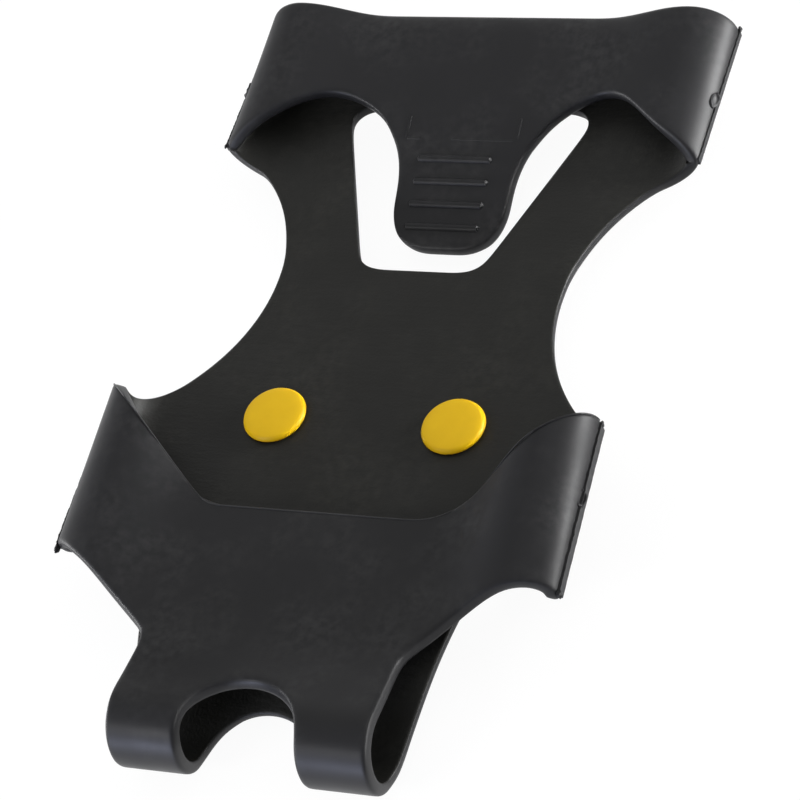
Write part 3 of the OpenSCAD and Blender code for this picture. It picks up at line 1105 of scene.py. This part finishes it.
def add_rod(start, end, radius, proud, name):
    first = Vector(start)
    length = (Vector(end) - first).length
    along = (Vector(end) - first) / length
    rings = []
    for share in steps(-1, 1, rod_rings):
        spot = first + along * length * (share + 1) / 2
        end_part = max(0.0, abs(share) * length / 2 - (length / 2 - radius))
        round_r = math.sqrt(max(rod_end_r ** 2, radius ** 2 - end_part ** 2))
        tilt = tab_droop if spot.y < tab_root_y else 0.0
        x, y, height = strap_place(spot.x, spot.y)
        ring = []
        for turn in steps(0, 2 * math.pi, rod_turns)[:-1]:
            sideways = round_r * math.cos(turn)
            upward = round_r * math.sin(turn) - radius + proud
            over = upward * math.sin(tilt)
            ring.append((x - sideways * along.y, y + sideways * along.x * math.cos(tilt) - over,
                         height + sideways * along.x * math.sin(tilt) + upward * math.cos(tilt)))
        rings.append(ring)
    return add_tube(rings, name)


# %% Lay the ribs and the frame
rib_half = 8.95
rib_middle_x = -0.8
rib_r = 0.95
rib_proud = 0.62
rib_first = 9.4
rib_pitch = 5.18
rib_count = 4
frame_left_x = -13.05
frame_right_x = 12.65
frame_front_y = 105.2
frame_rear_y = 110.8
frame_gap = (-9.45, -3.05)
line_r = 0.45
line_proud = 0.09

raised = []
for index in range(rib_count):
    rib_y = tab_root_y - rib_first - index * rib_pitch
    rib_ends = ((rib_middle_x - rib_half, rib_y), (rib_middle_x + rib_half, rib_y))
    raised.append(add_rod(*rib_ends, rib_r, rib_proud, "rib"))
frame_lines = [((frame_left_x, frame_rear_y), (frame_left_x, frame_front_y)),
               ((frame_left_x, frame_front_y), (frame_gap[0], frame_front_y)),
               ((frame_gap[1], frame_front_y), (frame_right_x, frame_front_y)),
               ((frame_right_x, frame_front_y), (frame_right_x, frame_rear_y))]
for line_ends in frame_lines:
    raised.append(add_rod(*line_ends, line_r, line_proud, "frame_line"))
ribs = join(raised, "grip_ribs")
print("raised lines on the tab:", len(raised))

# %% [markdown]
# ## Studs
#
# Each stud is a yellow plastic head that sits on the sole's inner face, a turned steel stud below the
# sole and a hard tip pressed into it. All three are turned shapes, so half of the section is drawn and
# spun round, as on a lathe. Cylinders and cones would give the same outline, but not the rounded corners
# that catch the light.

# %% Helpers for turned pieces
spin_steps = 64
spin_merge_mm = 0.001
turned_crease = math.radians(35)
corner_points = 4


def rounded(points, radius):
    line = [points[0]]
    for before, corner, after in zip(points, points[1:], points[2:]):
        first = Vector(corner) + (Vector(before) - Vector(corner)).normalized() * radius
        last = Vector(corner) + (Vector(after) - Vector(corner)).normalized() * radius
        for share in steps(0, 1, corner_points):
            towards = first.lerp(Vector(corner), share)
            away = Vector(corner).lerp(last, share)
            line.append(tuple(towards.lerp(away, share)))
    return line + [points[-1]]


def add_turned(profile, centre, name):
    last = len(profile) - 1
    middle = (centre[0] * MM, centre[1] * MM, 0)
    bpy.ops.mesh.primitive_grid_add(x_subdivisions=last, y_subdivisions=1, size=grid_size)
    turned_piece = bpy.context.object
    for vertex in turned_piece.data.vertices:
        radius, height = profile[round((vertex.co.x / grid_size + 1 / 2) * last)]
        vertex.co = ((centre[0] + radius) * MM, centre[1] * MM, height * MM)
    bpy.ops.object.mode_set(mode="EDIT")
    bpy.ops.mesh.select_all(action="SELECT")
    bpy.ops.mesh.remove_doubles(threshold=spin_merge_mm * MM)
    bpy.ops.mesh.spin(steps=spin_steps, angle=2 * math.pi, center=middle, axis=(0, 0, 1))
    bpy.ops.mesh.select_all(action="SELECT")
    bpy.ops.mesh.remove_doubles(threshold=spin_merge_mm * MM)
    bpy.ops.mesh.normals_make_consistent(inside=False)
    bpy.ops.object.mode_set(mode="OBJECT")
    bpy.ops.object.shade_smooth_by_angle(angle=turned_crease)
    return give_name(turned_piece, name)


# %% Half section of the yellow head
cap_low, cap_high_corner = box_mm("stud_cap_rear_left")
stud_low, stud_high = box_mm("stud_rear_left")
head_r = (cap_high_corner.x - cap_low.x) / 2
head_t = cap_high_corner.z - inner_z
head_top = inner_z + head_t
sole_z = inner_z - sheet_t
shank_r = 3.0
spigot_r = 1.6
play = 0.02
spigot_play = 0.03
flat_inset = 2.0
head_round = 0.42
rim_share = 0.6
head_crown = ((1.6, 0.03), (0.5, 0.16), (0.0, rim_share * head_t))
under_lip = ((0.25, 0.25), (0.9, 0.0))

head_rim = [(head_r - inset, head_top - drop) for inset, drop in head_crown]
head_rim += [(head_r - inset, inner_z + lift) for inset, lift in under_lip]
head_profile = [(0, head_top), (head_r - flat_inset, head_top)] + rounded(head_rim, head_round)
head_profile += [(shank_r, inner_z), (shank_r, sole_z + play), (spigot_r + spigot_play, sole_z + play),
                 (spigot_r + spigot_play, stud_high.z + play), (0, stud_high.z + play)]
print("head", round(2 * head_r, 2), "mm wide,", round(head_t, 2), "mm thick")

# %% Half sections of the steel stud and its tip
tip_low, tip_high = box_mm("stud_tip_rear_left")
flange_r = (stud_high.x - stud_low.x) / 2
tip_r = (tip_high.x - tip_low.x) / 2
flange_t = 1.4
cone_r = 4.0
foot_r = 2.5
spigot_foot = 0.3
stud_round = 0.25
tip_round = 0.2
seat_r = tip_r + play

stud_rim = [(spigot_r + spigot_foot, sole_z), (flange_r, sole_z), (flange_r, sole_z - flange_t),
            (cone_r, sole_z - flange_t), (foot_r, stud_low.z), (seat_r, stud_low.z)]
stud_profile = [(0, stud_high.z), (spigot_r, stud_high.z), (spigot_r, sole_z)] + rounded(stud_rim, stud_round)
stud_profile += [(seat_r, stud_low.z), (seat_r, tip_high.z + play), (0, tip_high.z + play)]
tip_rim = [(tip_round, tip_high.z), (tip_r, tip_high.z), (tip_r, 0), (tip_round, 0)]
tip_profile = [(0, tip_high.z)] + rounded(tip_rim, tip_round) + [(0, 0)]
print("flange", round(2 * flange_r, 2), "mm, tip", round(2 * tip_r, 2), "mm")

# %% Spin the studs
heads, studs, tips = {}, {}, {}
for place in places:
    heads[place] = add_turned(head_profile, stud_centre(place), "head_" + place)
    studs[place] = add_turned(stud_profile, stud_centre(place), "spike_" + place)
    tips[place] = add_turned(tip_profile, stud_centre(place), "point_" + place)
print("studs:", len(studs))

# %% [markdown]
# ## Materials
#
# A material is a small graph of nodes. One function turns colours, written as they look on a screen, into
# the linear values that the renderer works with, and one adds a node with its settings and links. Every
# pattern reads Object coordinates, so it stays on its piece, and its scale is worked out from a size in
# millimetres.

# %% Material helpers


def colour(hex_code):
    channels = [int(hex_code[index:index + 2], 16) / 255 for index in (1, 3, 5)]
    linear = [value / 12.92 if value <= 0.04045 else ((value + 0.055) / 1.055) ** 2.4 for value in channels]
    return (*linear, 1)


def add_node(material, kind, values=None, links=None):
    node = material.node_tree.nodes.new(kind)
    for name, value in (values or {}).items():
        if isinstance(name, int) or name in node.inputs:
            node.inputs[name].default_value = value
        else:
            setattr(node, name, value)
    for name, source in (links or {}).items():
        material.node_tree.links.new(source, node.inputs[name])
    return node


def new_material(name):
    material = bpy.data.materials.new(name)
    material.use_nodes = True
    material.node_tree.nodes.clear()
    return material


# %% [markdown]
# ## Black rubber
#
# The outside is pressed against a polished mould: smooth, with a dull sheen, and clouded in patches by
# the pale bloom that rubber sweats out. The inside has a fine grain and faint creases across it, so it
# looks flatter. The third, paler rubber paints a highlight along the rear edge of the toe band. One
# function makes all three, because they differ only in colour, sheen and grain. The real grain is too
# fine to show at this distance, so it is drawn coarser.

# %% Rubber
# Sockets of the Mix node that take and give colours
A_COLOUR = 6
B_COLOUR = 7
MIXED_COLOUR = 2
cloud_mm = 9.0
wave_mm = 4.0
wave_depth = 0.05
wave_strength = 0.35
grain_strength = 0.6
sheen_swing = (-0.08, 0.1)
bloom_patch_mm = 16.0
bloom_speck_mm = 1.7
bloom_patch_edge = (0.42, 0.68)
bloom_speck_edge = (0.35, 0.7)
bloom_least = 0.1
crease_mm = 1.1
crease_stretch = (0.22, 1, 1)
crease_strength = 0.7


def rubber(name, dark, light, rough, grain_mm, grain_depth, crease_depth=0.0):
    material = new_material(name)
    place = add_node(material, "ShaderNodeTexCoord").outputs["Object"]
    sizes = {"cloud": (cloud_mm, 2), "wave": (wave_mm, 2), "patch": (bloom_patch_mm, 3),
             "speck": (bloom_speck_mm, 3), "grain": (grain_mm, 3)}
    spots = {}
    for kind, (size_mm, detail) in sizes.items():
        values = {"Scale": 1 / (size_mm * MM), "Detail": detail}
        spots[kind] = add_node(material, "ShaderNodeTexNoise", values, {"Vector": place}).outputs[0]
    bloom_parts = []
    for kind, (low, high) in (("patch", bloom_patch_edge), ("speck", bloom_speck_edge)):
        part = add_node(material, "ShaderNodeMapRange", {"From Min": low, "From Max": high},
                        {"Value": spots[kind]})
        bloom_parts.append(part.outputs["Result"])
    bloom = add_node(material, "ShaderNodeMath", {"operation": "MULTIPLY"}, dict(enumerate(bloom_parts)))
    pale = add_node(material, "ShaderNodeMapRange", {"To Min": bloom_least, "To Max": 1.0},
                    {"Value": bloom.outputs[0]})
    base = add_node(material, "ShaderNodeMix",
                    {"data_type": "RGBA", A_COLOUR: colour(dark), B_COLOUR: colour(light)},
                    {0: pale.outputs["Result"]})
    sheen = add_node(material, "ShaderNodeMapRange",
                     {"To Min": rough + sheen_swing[0], "To Max": rough + sheen_swing[1]},
                     {"Value": spots["cloud"]})
    relief = [(spots["wave"], wave_depth, wave_strength), (spots["grain"], grain_depth, grain_strength)]
    if crease_depth:
        drawn = add_node(material, "ShaderNodeMapping", {"Scale": crease_stretch}, {"Vector": place})
        creases = add_node(material, "ShaderNodeTexNoise", {"Scale": 1 / (crease_mm * MM), "Detail": 3},
                           {"Vector": drawn.outputs[0]})
        relief.append((creases.outputs[0], crease_depth, crease_strength))
    normal = {}
    for height, depth_mm, strength in relief:
        node = add_node(material, "ShaderNodeBump", {"Strength": strength, "Distance": depth_mm * MM},
                        {"Height": height, **normal})
        normal = {"Normal": node.outputs["Normal"]}
    shader = add_node(material, "ShaderNodeBsdfPrincipled", {"IOR": 1.5, "Specular IOR Level": 0.25},
                      {"Base Color": base.outputs[MIXED_COLOUR],
                       "Roughness": sheen.outputs["Result"], **normal})
    add_node(material, "ShaderNodeOutputMaterial", {}, {"Surface": shader.outputs["BSDF"]})
    return material


outer_rubber = rubber("rubber, moulded smooth", "#18181a", "#2b2b2c", 0.46, 0.35, 0.016)
inner_rubber = rubber("rubber, moulded with a fine grain", "#171715", "#232320", 0.52, 0.6, 0.11, 0.1)
# The paler rubber paints a highlight along the toe band's rear edge.
edge_highlight_rubber = rubber("rubber, painted edge highlight", "#2b2b2c", "#3a3a3b", 0.5, 0.3, 0.02)
print("rubbers:", [outer_rubber.name, inner_rubber.name, edge_highlight_rubber.name])

# %% [markdown]
# ## Yellow plastic
#
# The heads are injection moulded in an opaque yellow plastic. The eye sees a nearly even colour and a
# soft, wide gleam on the rounded rim, which a middling roughness with slight clouds gives.

# %% Plastic
plastic_cloud_mm = 3.0
plastic_grain_mm = 0.3
plastic_grain_depth = 0.01


def plastic():
    material = new_material("yellow plastic, injection moulded")
    place = add_node(material, "ShaderNodeTexCoord").outputs["Object"]
    cloud = add_node(material, "ShaderNodeTexNoise", {"Scale": 1 / (plastic_cloud_mm * MM), "Detail": 2},
                     {"Vector": place})
    fine = add_node(material, "ShaderNodeTexNoise", {"Scale": 1 / (plastic_grain_mm * MM), "Detail": 2},
                    {"Vector": place})
    base = add_node(material, "ShaderNodeMix",
                    {"data_type": "RGBA", A_COLOUR: colour("#d8ad0b"), B_COLOUR: colour("#e0b512")},
                    {0: cloud.outputs[0]})
    gleam = add_node(material, "ShaderNodeMapRange", {"To Min": 0.36, "To Max": 0.46},
                     {"Value": cloud.outputs[0]})
    relief = add_node(material, "ShaderNodeBump", {"Strength": 0.5, "Distance": plastic_grain_depth * MM},
                      {"Height": fine.outputs[0]})
    shader = add_node(material, "ShaderNodeBsdfPrincipled", {"IOR": 1.49, "Specular IOR Level": 0.2},
                      {"Base Color": base.outputs[MIXED_COLOUR], "Normal": relief.outputs["Normal"],
                       "Roughness": gleam.outputs["Result"]})
    add_node(material, "ShaderNodeOutputMaterial", {}, {"Surface": shader.outputs["BSDF"]})
    return material


yellow = plastic()
print("plastic:", yellow.name)

# %% [markdown]
# ## Turned steel and ground carbide
#
# The studs are turned from steel bar, so fine lines run round them and stretch every gleam. The tips are
# a hard carbide, ground to size: darker, with lines half as wide. Both are metals, told apart by colour,
# roughness and the width of the tool's lines. A wave texture counts twenty radians to a unit, so its
# scale is divided by that. One line takes a whole turn, so it comes out about six times as wide as the
# tool's feed, coarse enough to show.

# %% Metals
wave_radians = 20
metal_grain_mm = 0.5
line_depth = 0.008


def metal(name, base_colour, rough, band_mm):
    material = new_material(name)
    place = add_node(material, "ShaderNodeTexCoord").outputs["Object"]
    lines = add_node(material, "ShaderNodeTexWave",
                     {"bands_direction": "Z", "Scale": 1 / (wave_radians * band_mm * MM),
                      "Distortion": 1.5, "Detail": 2}, {"Vector": place})
    fine = add_node(material, "ShaderNodeTexNoise", {"Scale": 1 / (metal_grain_mm * MM), "Detail": 2},
                    {"Vector": place})
    gleam = add_node(material, "ShaderNodeMapRange", {"To Min": rough - 0.06, "To Max": rough + 0.08},
                     {"Value": fine.outputs[0]})
    relief = add_node(material, "ShaderNodeBump", {"Strength": 0.4, "Distance": line_depth * MM},
                      {"Height": lines.outputs[1]})
    shader = add_node(material, "ShaderNodeBsdfPrincipled",
                      {"Metallic": 1, "Base Color": colour(base_colour)},
                      {"Normal": relief.outputs["Normal"], "Roughness": gleam.outputs["Result"]})
    add_node(material, "ShaderNodeOutputMaterial", {}, {"Surface": shader.outputs["BSDF"]})
    return material


steel = metal("steel, turned", "#b9bbbd", 0.3, 0.15)
carbide = metal("carbide, ground", "#77797d", 0.36, 0.08)
print("metals:", [steel.name, carbide.name])

# %% [markdown]
# ## Dress the pieces
#
# Solidify gave the inner faces the second material slot, so each rubber piece takes the smooth rubber
# outside and the grained one inside. The marks and ribs left the mould with the outside, so they share
# its rubber.

# %% Give every piece its material
for piece in pieces.values():
    piece.data.materials[0] = outer_rubber
    piece.data.materials[1] = inner_rubber
for detail in list(lands.values()) + [ribs]:
    detail.data.materials.append(outer_rubber)
# The line along the toe band's rear edge takes the paler rubber, a painted highlight.
band_highlight_line.data.materials.append(edge_highlight_rubber)
for place in places:
    heads[place].data.materials.append(yellow)
    studs[place].data.materials.append(steel)
    tips[place].data.materials.append(carbide)
print("materials:", [material.name for material in bpy.data.materials])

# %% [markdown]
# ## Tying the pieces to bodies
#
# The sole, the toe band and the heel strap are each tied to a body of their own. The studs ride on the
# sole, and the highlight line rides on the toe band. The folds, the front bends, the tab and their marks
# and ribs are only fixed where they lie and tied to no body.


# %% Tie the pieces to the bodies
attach(pieces["sole_sheet"], "sole")
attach(pieces["toe_band"], "toe_cap")
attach(pieces["heel_band"], "heel_strap")
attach(band_highlight_line, "toe_cap")
for side in ("left", "right"):
    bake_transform(pieces["toe_fold_" + side])
    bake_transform(lands["toe_fold_" + side])
    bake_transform(pieces["toe_bend_" + side])
    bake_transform(pieces["heel_fold_" + side])
    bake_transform(lands["heel_fold_" + side])
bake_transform(pieces["grip_tab"])
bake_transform(ribs)
for place in places:
    for turned_piece in (heads[place], studs[place], tips[place]):
        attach(turned_piece, "sole")
print("tied to their bodies:", sorted(pieces))

# %% [markdown]
# ## Stand in for the CAD pieces
#
# Each rubber piece and each part of a stud takes the place of one CAD piece, which is hidden. The
# marks, the ribs and the highlight line on the toe band's edge belong to pieces that are already
# replaced, so no CAD piece is hidden for them.

# %% Say which CAD pieces they stand for
stands_for = {"sole_sheet": "sole_plate", "toe_band": "toe_cap",
              "heel_band": "heel_strap", "grip_tab": "pull_tab"}
for side in ("left", "right"):
    stands_for["toe_fold_" + side] = "toe_side_" + side
    stands_for["heel_fold_" + side] = "heel_side_" + side
    stands_for["toe_bend_" + side] = "toe_loop_" + side
for name, node in stands_for.items():
    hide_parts(node)
for place in places:
    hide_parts("stud_cap_" + place)
    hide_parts("stud_" + place)
    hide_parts("stud_tip_" + place)
print("replaced CAD pieces:", len(stands_for) + 3 * len(places))

# %% [markdown]
# ## White table
#
# The cleat lies on a white table that runs out of the picture. The table glows for the camera, so it
# stays white, and only a part of its colour is lit, which keeps a soft shadow. In mirrored light it glows
# more in front of the cleat, where the front bends mirror it, than beside it.

# %% Floor
floor_m = 6
floor_gap = 0.02
glow_share = 0.88
camera_glow = 1.06
gloss_glow = 1.5
shine_front_y = -50.0
shine_rear_y = -36.0
shine_front = 1.1
shine_rear = 0.5

bpy.ops.mesh.primitive_plane_add(size=floor_m)
floor = bpy.context.object
floor.name = "floor"
floor.location.z = -floor_gap * MM
white_floor = new_material("white table, matt")
ray = add_node(white_floor, "ShaderNodeLightPath").outputs
floor_at = add_node(white_floor, "ShaderNodeTexCoord").outputs["Object"]
floor_y = add_node(white_floor, "ShaderNodeSeparateXYZ", {}, {"Vector": floor_at}).outputs["Y"]
shine = add_node(white_floor, "ShaderNodeMapRange",
                 {"From Min": shine_front_y * MM, "From Max": shine_rear_y * MM,
                  "To Min": shine_front, "To Max": shine_rear}, {"Value": floor_y})
gloss = add_node(white_floor, "ShaderNodeMath", {"operation": "MULTIPLY"},
                 {0: ray["Is Glossy Ray"], 1: shine.outputs["Result"]})
seen = add_node(white_floor, "ShaderNodeMath", {"operation": "MAXIMUM"},
                {0: ray["Is Camera Ray"], 1: gloss.outputs[0]})
gleam = add_node(white_floor, "ShaderNodeMapRange", {"To Min": camera_glow, "To Max": gloss_glow},
                 {"Value": ray["Is Glossy Ray"]})
share = add_node(white_floor, "ShaderNodeMath", {"operation": "MULTIPLY", 1: glow_share},
                 {0: seen.outputs[0]})
matt = add_node(white_floor, "ShaderNodeBsdfDiffuse", {"Color": colour("#e6e6e6")})
glow = add_node(white_floor, "ShaderNodeEmission", {"Color": colour("#ffffff")},
                {"Strength": gleam.outputs["Result"]})
top_side = add_node(white_floor, "ShaderNodeMixShader", {},
                    {0: share.outputs[0], 1: matt.outputs[0], 2: glow.outputs[0]})
underside = add_node(white_floor, "ShaderNodeNewGeometry").outputs["Backfacing"]
clear = add_node(white_floor, "ShaderNodeBsdfTransparent")
two_sided = add_node(white_floor, "ShaderNodeMixShader", {},
                     {0: underside, 1: top_side.outputs[0], 2: clear.outputs[0]})
add_node(white_floor, "ShaderNodeOutputMaterial", {}, {"Surface": two_sided.outputs[0]})
floor.data.materials.append(white_floor)
print("floor:", floor_m, "m wide")

# %% [markdown]
# ## Light tent
#
# The photograph was taken in a white light tent: soft light from all round, brightest overhead and
# behind. The world is that tent. Its strength falls towards the ground and towards the front, and the
# camera sees it white.

# %% World
tent_height = (0.15, 0.8)
tent_height_power = (0.16, 0.93)
tent_depth = (-0.6, 0.6)
tent_depth_power = (0.42, 1.06)

world = bpy.data.worlds.new("light tent")
bpy.context.scene.world = world
world.use_nodes = True
world.node_tree.nodes.clear()
ray = add_node(world, "ShaderNodeLightPath").outputs
direction = add_node(world, "ShaderNodeTexCoord").outputs["Generated"]
parts = add_node(world, "ShaderNodeSeparateXYZ", {}, {"Vector": direction}).outputs
powers = []
for axis, reach, strength in (("Z", tent_height, tent_height_power), ("Y", tent_depth, tent_depth_power)):
    powers.append(add_node(world, "ShaderNodeMapRange",
                           {"From Min": reach[0], "From Max": reach[1],
                            "To Min": strength[0], "To Max": strength[1]}, {"Value": parts[axis]}))
power = add_node(world, "ShaderNodeMath", {"operation": "MULTIPLY"},
                 {0: powers[0].outputs["Result"], 1: powers[1].outputs["Result"]})
around = add_node(world, "ShaderNodeBackground", {"Color": colour("#ffffff")}, {"Strength": power.outputs[0]})
behind = add_node(world, "ShaderNodeBackground", {"Color": colour("#ffffff"), "Strength": 1})
tent = add_node(world, "ShaderNodeMixShader", {},
                {0: ray["Is Camera Ray"], 1: around.outputs[0], 2: behind.outputs[0]})
add_node(world, "ShaderNodeOutputWorld", {}, {"Surface": tent.outputs[0]})
print("world:", world.name)

# %% [markdown]
# ## Lamps
#
# Black rubber shows its shape by what it mirrors, so strip lamps stand round the tent, most of them low,
# as a product photographer would place them: each puts a gleam on the folds or bends that face it. The
# one in front is a little cool, and a narrow one picks out the right heel fold.

# %% Lamps round the tent
middle = (0, 40, 10)
heel_spread_angle = math.radians(26)


def add_lamp(name, place_mm, aim_mm, size_mm, watts, tint="#ffffff"):
    lamp = bpy.data.lights.new(name, "AREA")
    lamp.shape = "RECTANGLE"
    lamp.size = size_mm[0] * MM
    lamp.size_y = size_mm[1] * MM
    lamp.energy = watts
    lamp.color = colour(tint)[:3]
    holder = bpy.data.objects.new(name, lamp)
    bpy.context.collection.objects.link(holder)
    holder.location = Vector(place_mm) * MM
    holder.rotation_euler = (Vector(aim_mm) - Vector(place_mm)).to_track_quat("-Z", "Y").to_euler()
    return holder


add_lamp("right light", (700, 260, 36), middle, (520, 70), 6.0)
add_lamp("left light", (-750, -120, 32), middle, (520, 60), 4.6)
add_lamp("left rear light", (-500, 750, 60), middle, (520, 90), 0.6)
add_lamp("front light", (-300, -740, 60), (0, -30, 10), (560, 90), 4.7, "#dbe2ff")
add_lamp("front left light", (-375, -560, 455), middle, (300, 200), 2.0)
heel_light = add_lamp("heel light", (420, 300, 110), (52, 124, 8), (150, 150), 0.11)
heel_light.data.spread = heel_spread_angle
print("lamps:", [lamp.name for lamp in bpy.data.lights])

# %% [markdown]
# ## Camera
#
# The camera stands where the photographer's stood. Its direction, roll, distance and focal length were
# fitted to the outline of the cleat and to its two yellow heads. The focal length is counted in pixels of
# the photograph, and the sensor's width turns it into the millimetres that Blender asks for.

# %% Camera
view_azimuth = math.radians(38.30)
view_elevation = math.radians(47.71)
view_roll = math.radians(-26.71)
view_distance = 674.0
view_aim = (13.6, 29.6, 23.1)
photo_width = 800
focal_pixels = 3417
sensor = 36.0
nearest_m = 0.01

back = Vector((math.sin(view_azimuth) * math.cos(view_elevation),
               -math.cos(view_azimuth) * math.cos(view_elevation), math.sin(view_elevation)))
level = Vector((math.cos(view_azimuth), math.sin(view_azimuth), 0))
rise = back.cross(level)
right = level * math.cos(view_roll) + rise * math.sin(view_roll)
top = rise * math.cos(view_roll) - level * math.sin(view_roll)
camera_data = bpy.data.cameras.new("camera")
camera_data.sensor_width = sensor
camera_data.lens = focal_pixels / photo_width * sensor
camera_data.clip_start = nearest_m
camera = bpy.data.objects.new("camera", camera_data)
bpy.context.collection.objects.link(camera)
turn = Matrix((right, top, back)).transposed().to_4x4()
camera.matrix_world = Matrix.Translation((Vector(view_aim) + back * view_distance) * MM) @ turn
bpy.context.scene.camera = camera
bpy.context.scene.view_settings.view_transform = "Standard"
print("camera lens", round(camera_data.lens, 1), "mm")
